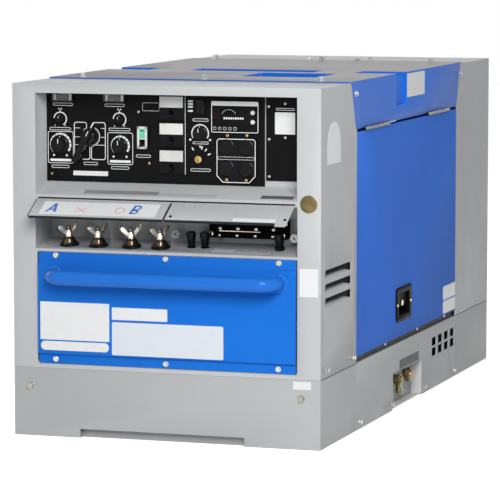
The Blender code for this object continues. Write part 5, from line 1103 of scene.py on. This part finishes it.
def make_drain_recess():
    """Plug and cock with their fittings in the base's right-hand recess."""
    plug, cock = (30, 56), (-52, 56)
    Piece("drain_plug_skin", DRAIN).lathe(
        *plug, [(15.6, 0.4), (15.6, 2.4), (9, 3), (9, 6), (0, 6.1)], 32).slab(
            circle(*plug, 16.6, HEXAGON, 0.3), (5.5, 16.5)).lathe(
                *plug, [(11.8, 16), (11.8, 20), (10.6, 21.6), (7.6, 21.9), (7.2, 20.4),
                        (0, 20.2)], 32).build(OLD_BRASS, node="oil_drain_plug", bevel=0.7)
    Piece("drain_cock_skin", DRAIN).lathe(
        *cock, [(10.5, 0.4), (10.5, 9), (9, 9.6), (9, 19), (7, 20.6), (0, 20.8)], 28).slab(
            circle(*cock, 14.6, HEXAGON, 0.1), (8.6, 15.6)).on(
                Face(DRAIN.at(*cock, 10.5), Y, X)).lathe(
                    0, 0, [(8.2, 3), (8.2, 13), (6.6, 14), (6.6, 22), (7.8, 23), (7.8, 27),
                           (6.2, 28.5), (6.4, 33), (0, 33.2)]).build(
                               OLIVE, node="coolant_drain_cock", bevel=0.5)
    middle = DRAIN.at(*cock, 15) + Vector((-0.006, 0, -0.016))
    points = [middle + Vector((0.0008 * i, y, z)) for i, (y, z) in
              enumerate(arc_points(0, 0, 0.0118, -60, 240, 18))]
    points.append(points[-1] + Vector((0.001, -0.011, -0.006)))
    Piece("drain_hose_clip", DRAIN).tube(points, 0.0011, 3).build(STEEL, smooth=40)
    # The lining's lighter grey is painted light against the recess's shade.
    Piece("drain_lining", DRAIN).box((-163.5, 94.5), (0.5, 3.5), (0.4, 22)).box(
        (88.5, 94.6), (3, 84.4), (0.4, 26.6)).box((-163.6, -157.5), (3, 84.4), (0.4, 26.6)).build(
            LINING_GREY_PAINTED_LIGHT, bevel=2, segments=3)


def make_filler_cap():
    """The filler cap with its grip ribs."""
    skin("fuel_cap", BODY_BLACK_AND_SLOT_SHADE, 1.2)
    low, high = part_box("fuel_cap")
    middle = (low + high) / 2
    ribs = Piece("fuel_cap_ribs", Face((middle.x, middle.y, high.z - 0.008), X, Y))
    for spot in circle(0, 0, 39.2, 30):
        ribs.lathe(*spot, [(1.2, -22), (1.2, -3), (0, -2)], 8)
    ribs.build(BODY_BLACK_AND_SLOT_SHADE, "filler_cap", smooth=40)


# ---- floor, light and camera ----

FLOOR_HALF = 14
FLOOR_LIFT = 0.75    # emission that turns the floor white for the camera
WHITE = (1, 1, 1)


def make_stage():
    """A pale floor that the camera, metal and glass see as white."""
    n = Nodes("studio_floor")
    n.shade(n.cloud(n.noise(1.5, 3), (0.8, 0.8, 0.8), (0.82, 0.82, 0.82)), 0.8,
            Emission_Color=WHITE,
            Emission_Strength=n.math("MULTIPLY", n.seen_directly(), FLOOR_LIFT))
    n.bump(n.noise(60), 0.02, 0.001)
    mesh = bpy.data.meshes.new("studio_floor")
    low = CAD_BOX[0].z - 0.0005
    mesh.from_pydata([(x * FLOOR_HALF, y * FLOOR_HALF, low) for x, y in
                      ((-1, -1), (1, -1), (1, 1), (-1, 1))], [], [(0, 1, 2, 3)])
    mesh.materials.append(n.owner)
    put("studio_floor", mesh)


def lamp(name, spot, aim, size, power):
    """A square soft lamp aimed at a point."""
    put(name, settled(bpy.data.lights.new(name, "AREA"), size=size, energy=power), location=spot,
        rotation_euler=(Vector(aim) - Vector(spot)).to_track_quat("-Z", "Y").to_euler())


def make_light():
    """Soft studio lamps over a white world."""
    n = Nodes("studio", bpy.data.worlds)
    fill = n.tree.nodes["Background"]
    n.feed(fill, {"Color": (0.97, 0.98, 1), "Strength": 0.22})
    white = n.add("Background", {"Color": WHITE, "Strength": 1})
    blend = n.add("MixShader", {0: n.seen_directly(), 1: fill.outputs[0], 2: white.outputs[0]})
    n.feed(n.tree.nodes["World Output"], {"Surface": blend.outputs[0]})
    bpy.context.scene.world = n.owner
    lamp("key", (1.4, -3.6, 2.1), (0.1, -0.4, 0.35), 1.6, 104)
    lamp("rear_fill", (-4.6, 1.6, 2.4), (0, 0.2, 0.4), 2.6, 60)
    lamp("top", (0, 0.2, 5), (0, 0, 0.7), 3, 36)


def make_camera():
    """The photograph's long view from the front right."""
    lens = settled(bpy.data.cameras.new("view"), sensor_width=36, lens=224.1, clip_end=100)
    bpy.context.scene.camera = put("view", lens, location=(2.2424, -6.9841, 1.1317),
                                   rotation_euler=(radians(83.86), 0, radians(18.16)))


repaint_nodes()
make_shells()
make_fasteners()
make_door_trim()
make_handle()
make_stickers()
make_panel_print()
make_meters()
make_dials()
make_breaker_faces()
make_monitor_face()
make_outlet_faces()
make_key_and_screws()
make_wing_nuts()
make_terminal_fittings()
make_flap_marks()
make_drain_recess()
make_filler_cap()
make_stage()
make_light()
make_camera()
bpy.context.scene.view_settings.view_transform = "Standard"
